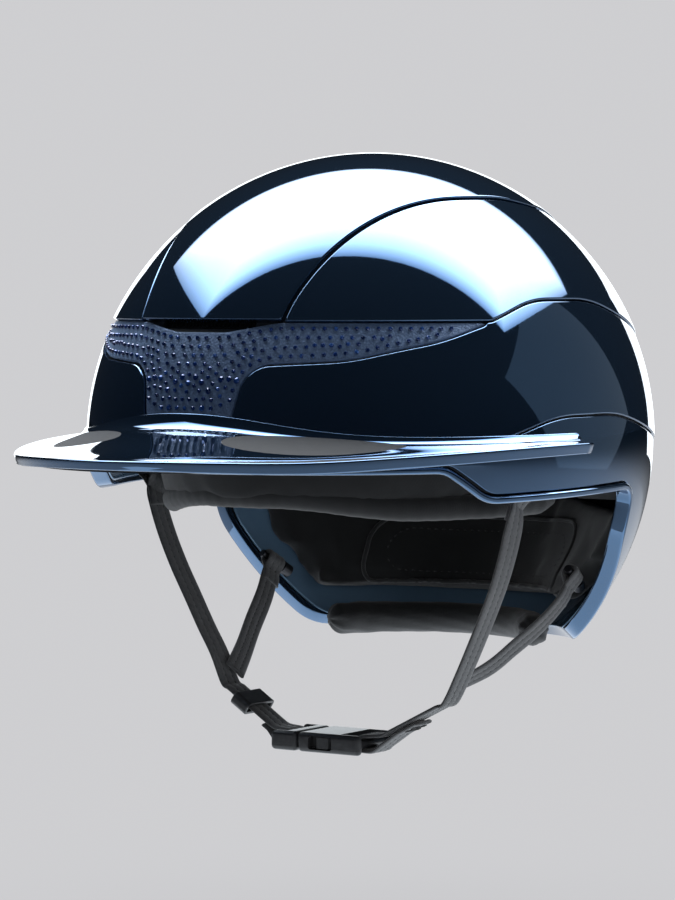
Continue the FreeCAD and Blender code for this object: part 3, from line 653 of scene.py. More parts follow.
def stone_shape(radius):
    """Cut stone: eight-sided girdle, crown facets and a flat table, foot at the origin."""
    rings = [(0.0, 0.8, 0.0), (0.35, 1.0, 0.0), (0.62, 0.84, 0.5), (1.0, 0.5, 0.0)]
    verts = []
    for lift, width, twist in rings:
        for k in range(STONE_SIDES):
            angle = 2 * math.pi * (k + twist) / STONE_SIDES
            verts.append((radius * width * math.cos(angle), radius * width * math.sin(angle),
                          STONE_HEIGHT * lift))
    n = STONE_SIDES
    faces = [tuple(range(n))[::-1], tuple(range(3 * n, 4 * n))]
    for k in range(n):
        m = (k + 1) % n
        faces.append((k, m, n + m, n + k))
        faces.append((n + k, n + m, 2 * n + k))
        faces.append((n + m, 2 * n + m, 2 * n + k))
        faces.append((2 * n + k, 2 * n + m, 3 * n + m))
        faces.append((2 * n + k, 3 * n + m, 3 * n + k))
    return verts, faces


def stone_places():
    """Foot, outward direction and radius of every stone of the CAD model, in millimetres."""
    bm = bmesh.new()
    bm.from_mesh(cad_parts["band_crystals"].data)
    bmesh.ops.remove_doubles(bm, verts=bm.verts, dist=1e-6)
    seen = set()
    places = []
    for vert in bm.verts:
        if vert in seen:
            continue
        island, queue = [], [vert]
        seen.add(vert)
        while queue:
            here = queue.pop()
            island.append(here.co)
            for edge in here.link_edges:
                other = edge.other_vert(here)
                if other not in seen:
                    seen.add(other)
                    queue.append(other)
        points = np.array(island) / MM
        middle = points.mean(0)
        outward = middle / np.array([HALF_WIDTH, HALF_LENGTH, HEIGHT]) ** 2
        outward /= np.linalg.norm(outward)
        rise = (points - middle) @ outward
        away = np.linalg.norm((points - middle) - rise[:, None] * outward, axis=1)
        places.append((middle + outward * rise.min(), outward, away.max()))
    bm.free()
    return sorted(places, key=lambda p: tuple(p[0]))


def make_stones():
    verts, faces = [], []
    for foot, outward, radius in stone_places():
        shape, shape_faces = stone_shape(radius)
        across = np.cross(outward, (0, 0, 1))
        across /= np.linalg.norm(across)
        up = np.cross(outward, across)
        spin = random.uniform(0, math.pi)
        lean = np.array([random.gauss(0, 0.05), random.gauss(0, 0.05)])
        axis = outward + across * lean[0] + up * lean[1]
        axis /= np.linalg.norm(axis)
        a = across * math.cos(spin) + up * math.sin(spin)
        a -= axis * (a @ axis)
        a /= np.linalg.norm(a)
        b = np.cross(axis, a)
        first = len(verts)
        verts.extend(foot + v[0] * a + v[1] * b + v[2] * axis for v in shape)
        faces.extend(tuple(first + i for i in f) for f in shape_faces)
    obj = add_object("brow_stones", np.array(verts) * MM, faces, smooth=False)
    face_outwards(obj)
    finish_piece(obj, SAPPHIRE, "helmet", "crystal", "band_crystals")


# --- brim ---------------------------------------------------------------------------------------
BRIM_R = 123.45
BRIM_HALF_WIDTH, BRIM_REACH = 122.0, 197.0
BRIM_THICKNESS = 4.4
BRIM_END_Y = -20.0
BRIM_SLICES = 180
LIP_NOSE, EDGE_ROUND, UNDER_ROUND = 0.35, 0.8, 0.7
FASCIA_SLANT = 1.2


def smoothstep(x):
    x = min(1.0, max(0.0, x))
    return x * x * (3 - 2 * x)


def brim_section(share):
    """Closed slice of the brim in mm; share goes from -1 at the right end to +1 at the left."""
    turn_out = share * math.acos(-BRIM_END_Y / BRIM_REACH)
    inner_y = HALF_LENGTH * BRIM_R / HEIGHT
    turn_in = share * math.acos(-BRIM_END_Y / inner_y)
    degrees = abs(math.degrees(turn_in))
    lip = 6.6 + 9.5 * math.exp(-(degrees / 27.0) ** 2.2)
    out = abs(math.degrees(turn_out))
    edge = -0.5 + 3.3 * smoothstep((out - 34) / 50) - 0.6 * math.exp(-((out - 34) / 14) ** 2)
    ring = math.sqrt(BRIM_R ** 2 - lip ** 2) / HEIGHT
    inner = Vector((HALF_WIDTH * ring * math.sin(turn_in), -HALF_LENGTH * ring * math.cos(turn_in), 0))
    outer = Vector((BRIM_HALF_WIDTH * math.sin(turn_out), -BRIM_REACH * math.cos(turn_out), 0))
    run = outer - inner
    width = run.length
    run.normalize()
    loop = []

    def put(along, height):
        loop.append((inner + run * along) + Vector((0, 0, height)))

    # lip: a thin rolled edge against the shell and a steep face, then a hollow slope to the edge
    face = 2.2 + 2.6 * math.exp(-(degrees / 24.0) ** 2)
    start = 2 * LIP_NOSE
    stop = width - EDGE_ROUND
    base = lip - LIP_NOSE

    def top(s):
        along = (stop - start) * s
        steep = face * (math.exp(-along / 1.6) - s * math.exp(-(stop - start) / 1.6))
        return edge + steep + (base - edge - face) * (1 - s) ** 1.7

    put(0.1, lip - BRIM_THICKNESS - 1.0)
    put(0.0, lip - 1.0)
    for k in range(5):
        angle = math.pi * k / 4
        put(LIP_NOSE * (1 - math.cos(angle)), base + LIP_NOSE * math.sin(angle))
    steps = 24
    for k in range(1, steps + 1):
        s = (k / steps) ** 1.6
        put(start + (stop - start) * s, top(s))
    for k in range(1, 5):
        angle = 0.5 * math.pi * k / 4
        put(stop + EDGE_ROUND * math.sin(angle), edge - EDGE_ROUND * (1 - math.cos(angle)))
    thick = 3.9 + 0.8 * smoothstep(out / 50)
    put(width - 0.5 * FASCIA_SLANT, edge - 0.5 * thick - 0.4)
    for k in range(4):
        angle = 0.5 * math.pi * k / 3
        put(width - FASCIA_SLANT - UNDER_ROUND * (1 - math.cos(angle)),
            edge - thick + UNDER_ROUND * (1 - math.sin(angle)))
    for k in range(1, steps + 1):
        s = 1 - (k / steps)
        put(start + (stop - FASCIA_SLANT - start) * s, top(s) - BRIM_THICKNESS + (BRIM_THICKNESS - thick) * s)
    return loop


def make_brim():
    rings = [brim_section(-1 + 2 * i / BRIM_SLICES) for i in range(BRIM_SLICES + 1)]
    for end in (0, -1):
        section = rings[end]
        middle = sum(section, Vector()) / len(section)
        back = Vector((0, 0.5, 0))
        rounded_end = [p + (middle - p).normalized() * min(0.6, 0.5 * (middle - p).length) + back
                       for p in section]
        rings = [rounded_end] + rings if end == 0 else rings + [rounded_end]
    verts = [p * MM for ring in rings for p in ring]
    obj = add_object("wide_brim", verts, ring_faces(len(rings), len(rings[0])))
    face_outwards(obj)
    finish_piece(obj, GLOSS, "helmet", "gloss_shell", "brim")


# --- vents --------------------------------------------------------------------------------------
def make_vent(name, node, z_low, z_high, side):
    """Grille of thin slats behind the slot, held by a bar above and a bar below."""
    half, r_in, r_out = 24.5, 118.6, 120.4
    verts, faces = [], []

    def bar(x0, x1, z0, z1):
        first = len(verts)
        for r in (r_in, r_out):
            for x, z in ((x0, z0), (x1, z0), (x1, z1), (x0, z1)):
                verts.append(to_world(np.array([x, side * math.sqrt(r * r - x * x - z * z), z])))
        faces.extend(tuple(first + i for i in f) for f in
                     ((0, 1, 2, 3), (4, 7, 6, 5), (0, 4, 5, 1), (1, 5, 6, 2), (2, 6, 7, 3), (3, 7, 4, 0)))

    pieces = 24
    for k in range(pieces):
        x0 = -half + 2 * half * k / pieces
        x1 = -half + 2 * half * (k + 1) / pieces
        bar(x0, x1, z_low + 0.35, z_low + 0.75)
        bar(x0, x1, z_high - 0.75, z_high - 0.35)
        bar(x0 + 0.7, x0 + 1.2, z_low + 0.75, z_high - 0.75)
    obj = add_object(name, verts, faces, smooth=False)
    face_outwards(obj)
    finish_piece(obj, MESH_METAL, "helmet", "mesh", node)


# --- padding ------------------------------------------------------------------------------------
VOXEL = 0.005
HEADBAND_R, HEM_R, OCCIPITAL_R = 84.5, 90.0, 104.0


def applied(obj):
    """Bakes an object's modifiers into its mesh."""
    bpy.context.view_layer.update()
    mesh = bpy.data.meshes.new_from_object(obj.evaluated_get(bpy.context.evaluated_depsgraph_get()))
    obj.modifiers.clear()
    obj.data = mesh
    return obj


def puffed(name, node, inset, cap, pressure=4.0, frames=20):
    """Padded fabric blown up from a CAD solid by a short cloth run; no point moves more than cap metres."""
    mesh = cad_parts[node].data.copy()
    mesh.materials.clear()
    obj = bpy.data.objects.new(name, mesh)
    bpy.context.scene.collection.objects.link(obj)
    remesh = obj.modifiers.new("remesh", "REMESH")
    remesh.mode = "VOXEL"
    remesh.voxel_size = VOXEL
    applied(obj)
    smooth = obj.modifiers.new("smooth", "LAPLACIANSMOOTH")
    smooth.iterations = 3
    smooth.lambda_factor = 0.6
    applied(obj)
    for vert, normal in [(v, v.normal.copy()) for v in obj.data.vertices]:
        vert.co -= normal * inset
    start = np.array([v.co for v in obj.data.vertices])
    scene = bpy.context.scene
    cloth = obj.modifiers.new("cloth", "CLOTH")
    cloth.settings.use_pressure = True
    cloth.settings.uniform_pressure_force = pressure
    cloth.settings.effector_weights.gravity = 0.0
    cloth.settings.quality = 4
    cloth.collision_settings.use_collision = False
    cloth.point_cache.frame_start, cloth.point_cache.frame_end = 1, frames
    for step in range(1, frames + 1):
        scene.frame_set(step)
    applied(obj)
    scene.frame_set(1)
    ended = np.array([v.co for v in obj.data.vertices])
    moved = ended - start
    size = np.linalg.norm(moved, axis=1)
    moved *= (np.minimum(size, cap) / np.maximum(size, 1e-9))[:, None]
    obj.data.vertices.foreach_set("co", (start + moved).ravel())
    obj.data.update()
    subdivision = obj.modifiers.new("fine", "SUBSURF")
    subdivision.levels = 1
    applied(obj)
    obj.data.polygons.foreach_set("use_smooth", [True] * len(obj.data.polygons))
    return obj


def laid_on(obj, path, lift):
    """Points of a path brought to the nearest place of a surface, with the outward normal there."""
    tree = BVHTree.FromObject(obj, bpy.context.evaluated_depsgraph_get())
    points, normals = [], []
    for p in path:
        place, normal, _, _ = tree.find_nearest(Vector(p) * MM)
        points.append(np.array(place) / MM + np.array(normal) * lift)
        normals.append(np.array(normal))
    return np.array(points), np.array(normals)


def cord_along(points, normals, radius, closed, sides=8):
    """Thin tube along points; returns verts in mm and faces."""
    tangent = np.gradient(points, axis=0)
    if closed:
        tangent = np.roll(points, -1, axis=0) - np.roll(points, 1, axis=0)
    across = unit_rows(np.cross(unit_rows(tangent), normals))
    angles = np.linspace(0, 2 * math.pi, sides, endpoint=False)
    profile = [(radius * math.cos(a), radius * math.sin(a)) for a in angles]
    return sweep(points, normals, across, profile, closed)


def stitches(points, normals, pitch, length, width, lift):
    """Row of short sewn stitches along a line, as small closed lozenges."""
    lengths = lengths_along(points)
    verts, faces = [], []
    count = int(lengths[-1] / pitch)
    for k in range(count):
        middle = (k + 0.5) * pitch
        ends = [np.array([np.interp(middle + s * length / 2, lengths, points[:, i]) for i in range(3)])
                for s in (-1, 1)]
        index = min(len(normals) - 1, int(np.searchsorted(lengths, middle)))
        up = normals[index]
        run = ends[1] - ends[0]
        run /= max(np.linalg.norm(run), 1e-9)
        across = np.cross(run, up) * width / 2
        centre = 0.5 * (ends[0] + ends[1])
        first = len(verts)
        verts.extend([ends[0] - up * 0.15, centre + across, ends[1] - up * 0.15, centre - across,
                      centre + up * lift, centre - up * 0.35])
        faces.extend(tuple(first + i for i in f) for f in ((0, 1, 4), (1, 2, 4), (2, 3, 4), (3, 0, 4),
                                                           (1, 0, 5), (2, 1, 5), (3, 2, 5), (0, 3, 5)))
    return np.array(verts), faces


def merged(parts):
    """Several (verts, faces, material index) lists as one mesh's data."""
    verts, faces, materials = [], [], []
    for v, f, material in parts:
        first = len(verts)
        verts.extend(list(v))
        faces.extend(tuple(first + i for i in face) for face in f)
        materials.extend([material] * len(f))
    return verts, faces, materials


def add_merged(name, parts, materials):
    verts, faces, indices = merged(parts)
    obj = add_object(name, np.array(verts) * MM, faces)
    for material in materials:
        obj.data.materials.append(material)
    obj.data.polygons.foreach_set("material_index", indices)
    face_outwards(obj)
    return obj


def ring_in_layer(r, z, start, end, count):
    """Points of a level line on the sphere of radius r, from start to end degrees (0 is the front)."""
    angles = np.radians(np.linspace(start, end, count))
    ring = math.sqrt(r * r - z * z)
    return np.stack([ring * np.sin(angles), -ring * np.cos(angles), np.full(count, z)], 1) * STRETCH


def make_headband():
    pad = puffed("headband", "headband_pad", 0.0012, 0.003)
    finish_piece(pad, FABRIC, "helmet", "lining", "headband_pad")
    parts = []
    for z in (-21.0, 31.0):
        points, normals = laid_on(pad, ring_in_layer(HEADBAND_R, z, -105, 105, 220), 0.1)
        v, f = cord_along(points, normals, 0.9, False)
        parts.append((v, f, 0))
    for degrees in (-92, -58, -24, 24, 58, 92):
        z = np.linspace(-20, 30, 40)
        ring = np.sqrt(HEADBAND_R ** 2 - z ** 2)
        a = math.radians(degrees)
        path = np.stack([ring * math.sin(a), -ring * math.cos(a), z], 1) * STRETCH
        points, normals = laid_on(pad, path, 0.1)
        v, f = cord_along(points, normals, 0.5, False)
        parts.append((v, f, 0))
    piping = add_merged("headband_piping", parts, [PIPING])
    attach(piping, "helmet", "lining")


def make_brow_roll():
    """Soft rolled hem along the bottom of the headband, fuller at the temples and over the brow."""
    count = 260
    angles = np.linspace(-100, 100, count)
    path, normals, radii = [], [], []
    for degrees in angles:
        a = math.radians(degrees)
        drop = 19.0 + 5.5 * smoothstep((abs(degrees) - 12) / 40)
        ring = math.sqrt(HEM_R ** 2 - drop ** 2)
        p = np.array([ring * math.sin(a), -ring * math.cos(a), -drop])
        path.append(p * STRETCH)
        normals.append(world_normals([p / HEM_R])[0])
        radii.append(5.2 * min(1.0, 0.35 + (100 - abs(degrees)) / 12))
    path, normals = np.array(path), np.array(normals)
    side = np.cross(unit_rows(np.gradient(path, axis=0)), normals)
    sides = 20
    verts = []
    for i, (p, n, s, r) in enumerate(zip(path, normals, side, radii)):
        ripple = 1 + 0.012 * math.sin(i * 1.1) + 0.01 * math.sin(i * 0.37 + 1)
        for k in range(sides):
            angle = 2 * math.pi * k / sides
            verts.append(p + (n * math.cos(angle) * 0.85 + s * math.sin(angle)) * r * ripple)
    obj = add_object("headband_hem", np.array(verts) * MM, ring_faces(count, sides))
    face_outwards(obj)
    finish_piece(obj, FABRIC, "helmet", "lining")


def make_crown():
    pad = puffed("crown_cushion", "crown_pad", 0.0012, 0.003)
    finish_piece(pad, FABRIC, "helmet", "lining", "crown_pad")


def make_occipital():
    pad = puffed("occipital_cushion", "occipital_pad", 0.0016, 0.004)
    finish_piece(pad, FABRIC, "helmet", "lining", "occipital_pad")

    def line_on_pad(outline, lift):
        fine = resampled(rounded(outline), 1.2)
        y = np.sqrt(np.maximum(OCCIPITAL_R ** 2 - fine[:, 0] ** 2 - fine[:, 1] ** 2, 1))
        return laid_on(pad, np.stack([fine[:, 0], y, fine[:, 1]], 1) * STRETCH, lift)

    points, normals = line_on_pad([(-62, -40, 10), (62, -40, 10), (56, -70, 14), (-56, -70, 14)], 0.15)
    rope = cord_along(points, normals, 1.0, True)
    points, normals = line_on_pad([(-54, -46, 8), (54, -46, 8), (49, -64, 10), (-49, -64, 10)], 0.05)
    sewn = stitches(points, normals, 3.4, 2.4, 0.7, 0.3)
    piping = add_merged("occipital_piping", [(*rope, 0), (*sewn, 0)], [PIPING])
    attach(piping, "helmet", "lining")


def make_nape():
    """Soft roll under the neck opening, gathered into pleats at both ends."""
    count, sides = 240, 28
    ring_r, tube, level = 69.5, 7.0, -84.0
    verts = []
    for i in range(count):
        share = i / (count - 1)
        a = math.radians(33 + 114 * share)
        middle = np.array([ring_r * math.cos(a), ring_r * math.sin(a), level])
        outward = np.array([math.cos(a), math.sin(a), 0])
        ends = min(share, 1 - share)
        cap = math.sqrt(max(0.0, 1 - max(0.0, 1 - ends / 0.045) ** 2))
        full = 1.0 + 0.05 * math.exp(-((ends - 0.12) / 0.06) ** 2)
        for k in range(sides):
            angle = 2 * math.pi * k / sides
            pleat = (0.10 * math.exp(-ends / 0.05) * math.sin(angle * 7 + 0.6)
                     + 0.02 * math.sin(9 * angle + 31 * share))
            crease = 0.035 * math.sin(70 * share + 2.0 * math.sin(angle)) * math.exp(-ends / 0.15)
            r = tube * (cap * full + (pleat + crease) * min(1.0, cap * 2)) * 0.97
            p = middle * STRETCH + (outward * math.cos(angle) * 0.98 + np.array([0, 0, math.sin(angle)])) * r
            verts.append(p)
    obj = add_object("nape_cushion", np.array(verts) * MM, ring_faces(count, sides)[:-2])
    bm = bmesh.new()
    bm.from_mesh(obj.data)
    bmesh.ops.remove_doubles(bm, verts=bm.verts, dist=1e-5)
    bmesh.ops.recalc_face_normals(bm, faces=bm.faces)
    bm.to_mesh(obj.data)
    bm.free()
    finish_piece(obj, SOFT_LEATHER, "helmet", "lining", "nape_roll")


# --- harness ------------------------------------------------------------------------------------
FRONT_PIN, REAR_PIN = np.array([95.0, -34, -17]), np.array([79.0, 35, -58])
JUNCTION = np.array([58.0, -26, -103])
LOOP_R = 2.75
WEB = 1.8
CHIN_WIDTH = 13.5
CHIN_STEP = 0.8
BAR_TURN = 1.9 + 0.3 + WEB / 2
BUCKLE_Y, BUCKLE_Z = -26.0, -128.5
BAR_LEFT, BAR_RIGHT = 14.8, 25.0    # how far each strap's bar lies from the middle


def unit(v):
    v = np.asarray(v, float)
    return v / np.linalg.norm(v)


PIN_LINE = unit(REAR_PIN - FRONT_PIN)
SIDE_NORMAL = unit(np.cross(REAR_PIN - JUNCTION, FRONT_PIN - JUNCTION))
if SIDE_NORMAL[0] < 0:
    SIDE_NORMAL = -SIDE_NORMAL


def smooth_line(points, spacing=1.0):
    """Catmull-Rom curve through points, evenly stepped."""
    p = np.array(points, float)
    p = np.vstack([2 * p[0] - p[1], p, 2 * p[-1] - p[-2]])
    out = []
    for i in range(1, len(p) - 2):
        a, b, c, d = p[i - 1], p[i], p[i + 1], p[i + 2]
        steps = max(3, int(np.linalg.norm(c - b) / (0.4 * spacing)))
        for t in np.arange(steps) / steps:
            out.append(0.5 * (2 * b + (c - a) * t + (2 * a - 5 * b + 4 * c - d) * t * t
                              + (3 * b - a - 3 * c + d) * t ** 3))
    out.append(p[-2])
    return stepped(np.array(out), spacing, 4)


def strap_profile(width, thickness):
    """Section of a padded strap: three soft bands between two sewn grooves; (across, up) pairs."""
    points = []
    steps = 24
    for sign in (1, -1):
        for k in range(steps + 1):
            s = (k / steps - 0.5) * sign
            band = abs(math.sin(3 * math.pi * (s + 0.5)))
            edge = math.sqrt(max(0.0, 1 - (abs(s) / 0.5) ** 8))
            points.append((s * width, sign * thickness * (0.5 * edge * (0.72 + 0.28 * band ** 0.5))))
    return points


def ribbon(path, across, width, thickness, widths=None):
    """Strap skin and its two rows of stitches, as parts for add_merged."""
    tangent = unit_rows(np.gradient(path, axis=0))
    across = unit_rows(across - tangent * np.sum(across * tangent, 1)[:, None])
    up = np.cross(tangent, across)
    scale = np.ones(len(path)) if widths is None else widths
    profile = strap_profile(width, thickness)
    verts = []
    for p, a, u, s in zip(path, across, up, scale):
        verts.extend(p + a * x * s + u * y for x, y in profile)
    parts = [(np.array(verts), ring_faces(len(path), len(profile)), 0)]
    for row in (-1, 1):
        for face in (-1, 1):
            line = path + across * (row * width / 6) * scale[:, None] + up * face * thickness * 0.37
            parts.append((*stitches(line, up * face, 3.0, 2.2, 0.55, 0.22), 1))
    return parts


def bar_tack(centre, run, across, up, length, width):
    """Dense zigzag of thread that joins two layers."""
    parts = []
    for k in range(int(length / 0.9)):
        s = (k + 0.5) * 0.9 - length / 2
        a = centre + run * s - across * width / 2
        b = centre + run * (s + 0.45) + across * width / 2
        line = np.array([a + (b - a) * t for t in np.linspace(0, 1, 8)])
        parts.append((*cord_along(line, np.tile(up, (8, 1)), 0.28, False, 5), 1))
    return parts


def side_strap(side, pin, middle_points, width, name, nodes, bar_x=None):
    """Strap from its loop round the pin, through middle_points; with bar_x it runs on round that bar."""
    first = np.array(middle_points[0])
    run = unit(first - pin)
    n = SIDE_NORMAL - run * (SIDE_NORMAL @ run)
    n = unit(n)
    loop = [pin + run * 13 + n * (-LOOP_R + WEB + 0.15), pin + run * 7.5 + n * (-LOOP_R + WEB + 0.5)]
    for degrees in (20, 65, 110, 155):
        a = math.radians(degrees)
        loop.append(pin + LOOP_R * (n * math.cos(a) - run * math.sin(a)))
    loop.append(pin - n * LOOP_R + run * 1.5)
    points = loop + [np.array(p, float) for p in middle_points]
    if bar_x is None:
        path = smooth_line(points)
    else:
        chin = rounded_line(chin_line(bar_x))
        path = stepped(np.vstack([smooth_line(points + [chin[0], chin[3]]), chin[5:]]), CHIN_STEP)
    tangent = unit_rows(np.gradient(path, axis=0))
    away = np.linalg.norm(path - pin, axis=1)
    flat = np.cross(SIDE_NORMAL, tangent)
    sign = np.sign(flat @ PIN_LINE)
    sign[sign == 0] = 1
    flat *= sign[:, None]
    share = np.clip((away - 4) / 16, 0, 1)[:, None]
    share = share * share * (3 - 2 * share)
    across = PIN_LINE * (1 - share) + flat * share
    to_chin = np.clip((-84 - path[:, 2:3]) / 24, 0, 1)
    to_chin = to_chin * to_chin * (3 - 2 * to_chin)
    across = across * (1 - to_chin) + np.array([0, 1.0, 0]) * to_chin
    widths = 1 + (CHIN_WIDTH / width - 1) * share[:, 0] if bar_x is not None else None
    parts = ribbon(path, across, width, WEB, widths)
    tack_at = pin + run * 10.5 + n * (-LOOP_R + 1.5 * WEB + 0.25)
    parts += bar_tack(tack_at, run, unit(np.cross(run, n)), n, 3.2, width * 0.7)
    if bar_x is not None:
        for back in (5, 9):
            run = unit(path[-back] - path[-back - 3])
            down = unit(np.cross(run, (0, 1.0, 0)))
            if down[2] > 0:
                down = -down
            place = path[-back] + down * (WEB * 0.5 + 0.05)
            parts += bar_tack(place, run, np.array([0, 1.0, 0]), down, 1.9, 10)
    if side < 0:
        parts = [(v * (-1, 1, 1), f, m) for v, f, m in parts]
    obj = add_merged(name, parts, [STRAP_LEATHER, THREAD])
    attach(obj, "left_harness" if side > 0 else "right_harness", "strap", *nodes)


def rounded_line(points):
    """Open centre line (x, z, bend radius) rounded at its inner points."""
    line = [np.array(points[0][:2])]
    for i in range(1, len(points) - 1):
        here = np.array(points[i][:2])
        back, ahead = unit(np.array(points[i - 1][:2]) - here), unit(np.array(points[i + 1][:2]) - here)
        half = 0.5 * math.acos(float(np.clip(back @ ahead, -1, 1)))
        radius = points[i][2]
        centre = here + unit(back + ahead) * radius / math.sin(half)
        start = here + back * radius / math.tan(half) - centre
        end = here + ahead * radius / math.tan(half) - centre
        a0 = math.atan2(start[1], start[0])
        turn = (math.atan2(end[1], end[0]) - a0 + math.pi) % (2 * math.pi) - math.pi
        for t in np.linspace(0, 1, 9):
            line.append(centre + radius * np.array([math.cos(a0 + turn * t), math.sin(a0 + turn * t)]))
    line.append(np.array(points[-1][:2]))
    x, z = stepped(np.array(line), CHIN_STEP).T
    return np.stack([x, np.full(len(x), BUCKLE_Y), z], 1)


def chin_run(bar_x):
    """Upper end, knee and direction (x, z) of the straight run below the junction; bar_x is positive."""
    top = JUNCTION + SIDE_NORMAL * (1.6 + WEB + 1.1)
    top = np.array([top[0], top[2]])
    knee = np.array([bar_x + (9 if bar_x == BAR_LEFT else 7), BUCKLE_Z + BAR_TURN + 1.0])
    return top, knee, unit(knee - top)


def chin_line(bar_x):
    """Centre line (x, z, bend radius) from low on the straight run, round the bar, to the sewn tail."""
    top, knee, run = chin_run(bar_x)
    start = top + (knee - top) * 0.72
    below = np.array([-run[1], run[0]]) * (WEB + 0.5)
    low = BUCKLE_Z - BAR_TURN
    bend, tail = (8, 19) if bar_x == BAR_LEFT else (1.5, 5.0)
    return [(*start, 0), (*knee, 8), (bar_x - BAR_TURN, BUCKLE_Z + BAR_TURN, BAR_TURN - 0.01),
            (bar_x - BAR_TURN, low, BAR_TURN - 0.01), (bar_x + 4.5, low, 5),
            (*(knee - run * bend + below), 3), (*(knee - run * tail + below), 0)]


def make_harness():
    n = SIDE_NORMAL
    rear_end = JUNCTION - n * 1.3 - unit(JUNCTION - REAR_PIN) * 1.5
    front = [(92.6, -34.3, -26), (89.0, -33.0, -40), (83.4, -31.2, -55), (76.8, -29.6, -69),
             (70.0, -28.6, -82.5), (63.9, -27.5, -94)]
    near_rear = [(78.2, 31.8, -64.5), (76.4, 25.0, -71.7), (73.2, 15.0, -79.5), (69.2, 3.4, -86.8),
                 (64.5, -9, -94.7), rear_end]
    far_rear = [(77.0, 30.5, -63.5), (72.6, 19, -73), (68.2, 4, -84.4), (63.0, -10, -94), rear_end]
    for side, bar_x, rear, end, word in ((1, BAR_LEFT, near_rear, "near", "left"),
                                         (-1, BAR_RIGHT, far_rear, "far", "right")):
        top, knee, run = chin_run(bar_x)
        shares = (0.17, 0.28, 0.4, 0.5, 0.6) if side > 0 else (0.1, 0.2, 0.3, 0.4, 0.5, 0.6)
        join = [(p[0], BUCKLE_Y, p[1]) for p in (top + (knee - top) * k for k in shares)]
        side_strap(side, FRONT_PIN, front + join, 11.5, "front_strap_" + end,
                   ("front_strap_" + word, "chin_strap_" + word), bar_x)
        side_strap(side, REAR_PIN, rear, 10.5, "rear_strap_" + end, ("rear_strap_" + word,))


# --- hard fittings ------------------------------------------------------------------------------
def box_object(name, low, high, bevel=0.0, segments=4):
    lo, hi = np.array(low) * MM, np.array(high) * MM
    verts = [(x, y, z) for x in (lo[0], hi[0]) for y in (lo[1], hi[1]) for z in (lo[2], hi[2])]
    faces = [(0, 1, 3, 2), (4, 6, 7, 5), (0, 4, 5, 1), (2, 3, 7, 6), (0, 2, 6, 4), (1, 5, 7, 3)]
    obj = add_object(name, verts, faces)
    face_outwards(obj)
    if bevel:
        edge = obj.modifiers.new("round", "BEVEL")
        edge.width = bevel * MM
        edge.segments = segments
        edge.limit_method = "NONE"
        applied(obj)
    return obj


def rod_object(name, start, end, radius, sides=32):
    a, b = np.array(start, float), np.array(end, float)
    t = unit(b - a)
    u = unit(np.cross(t, (0.3, 0.5, 0.8)))
    v = np.cross(t, u)
    verts = [p + radius * (u * math.cos(k) + v * math.sin(k)) for p in (a, b)
             for k in np.linspace(0, 2 * math.pi, sides, endpoint=False)]
    faces = [(k, (k + 1) % sides, sides + (k + 1) % sides, sides + k) for k in range(sides)]
    faces += [tuple(range(sides)), tuple(range(sides, 2 * sides))]
    obj = add_object(name, np.array(verts) * MM, faces)
    face_outwards(obj)
    return obj


def combine(obj, other, operation):
    boolean = obj.modifiers.new("boolean", "BOOLEAN")
    boolean.operation = operation
    boolean.object = other
    boolean.solver = "EXACT"
    applied(obj)
    bpy.data.objects.remove(other)
    return obj


def edged(obj, width):
    """Breaks every sharp edge with a small round."""
    edge = obj.modifiers.new("edges", "BEVEL")
    edge.width = width * MM
    edge.segments = 3
    edge.limit_method = "ANGLE"
    edge.angle_limit = math.radians(40)
    applied(obj)
    obj.data.polygons.foreach_set("use_smooth", [True] * len(obj.data.polygons))
    weighted = obj.modifiers.new("weighted", "WEIGHTED_NORMAL")
    weighted.keep_sharp = True
    applied(obj)
    return obj


def buckle_box(name, x, half_width, half_height, bevel=0.0):
    return box_object(name, (x[0], BUCKLE_Y - half_width, BUCKLE_Z - half_height),
                      (x[1], BUCKLE_Y + half_width, BUCKLE_Z + half_height), bevel)


def strap_bar(x):
    return rod_object("bar", (x, BUCKLE_Y - 13, BUCKLE_Z), (x, BUCKLE_Y + 13, BUCKLE_Z), 1.9)


def make_buckle():
    body = buckle_box("buckle_body", (-14, 18), 14, 4.25, 2.0)
    combine(body, buckle_box("slot", (7, 30), 11.4, 20), "DIFFERENCE")
    combine(body, buckle_box("cavity", (-30, 5), 11, 2.9), "DIFFERENCE")
    combine(body, buckle_box("window", (-8, 4), 40, 2.9, 1.2), "DIFFERENCE")
    combine(body, strap_bar(BAR_LEFT), "UNION")
    edged(body, 0.3)
    finish_piece(body, BUCKLE_PLASTIC, "left_harness", "buckle", "buckle_housing")
    plug = buckle_box("buckle_insert", (-28, -14.4), 14, 4.25, 2.0)
    combine(plug, buckle_box("slot", (-40, -20.2), 11.4, 20), "DIFFERENCE")
    combine(plug, strap_bar(-BAR_RIGHT), "UNION")
    combine(plug, buckle_box("tongue", (-16, 0), 3, 2.2, 0.6), "UNION")
    edged(plug, 0.3)
    finish_piece(plug, BUCKLE_PLASTIC, "right_harness", "buckle", "buckle_plug")
    for side, body_name, name, node in ((-1, "front_prong", "prong_near", "prong_front"),
                                        (1, "rear_prong", "prong_far", "prong_rear")):
        make_prong(side, body_name, name, node)


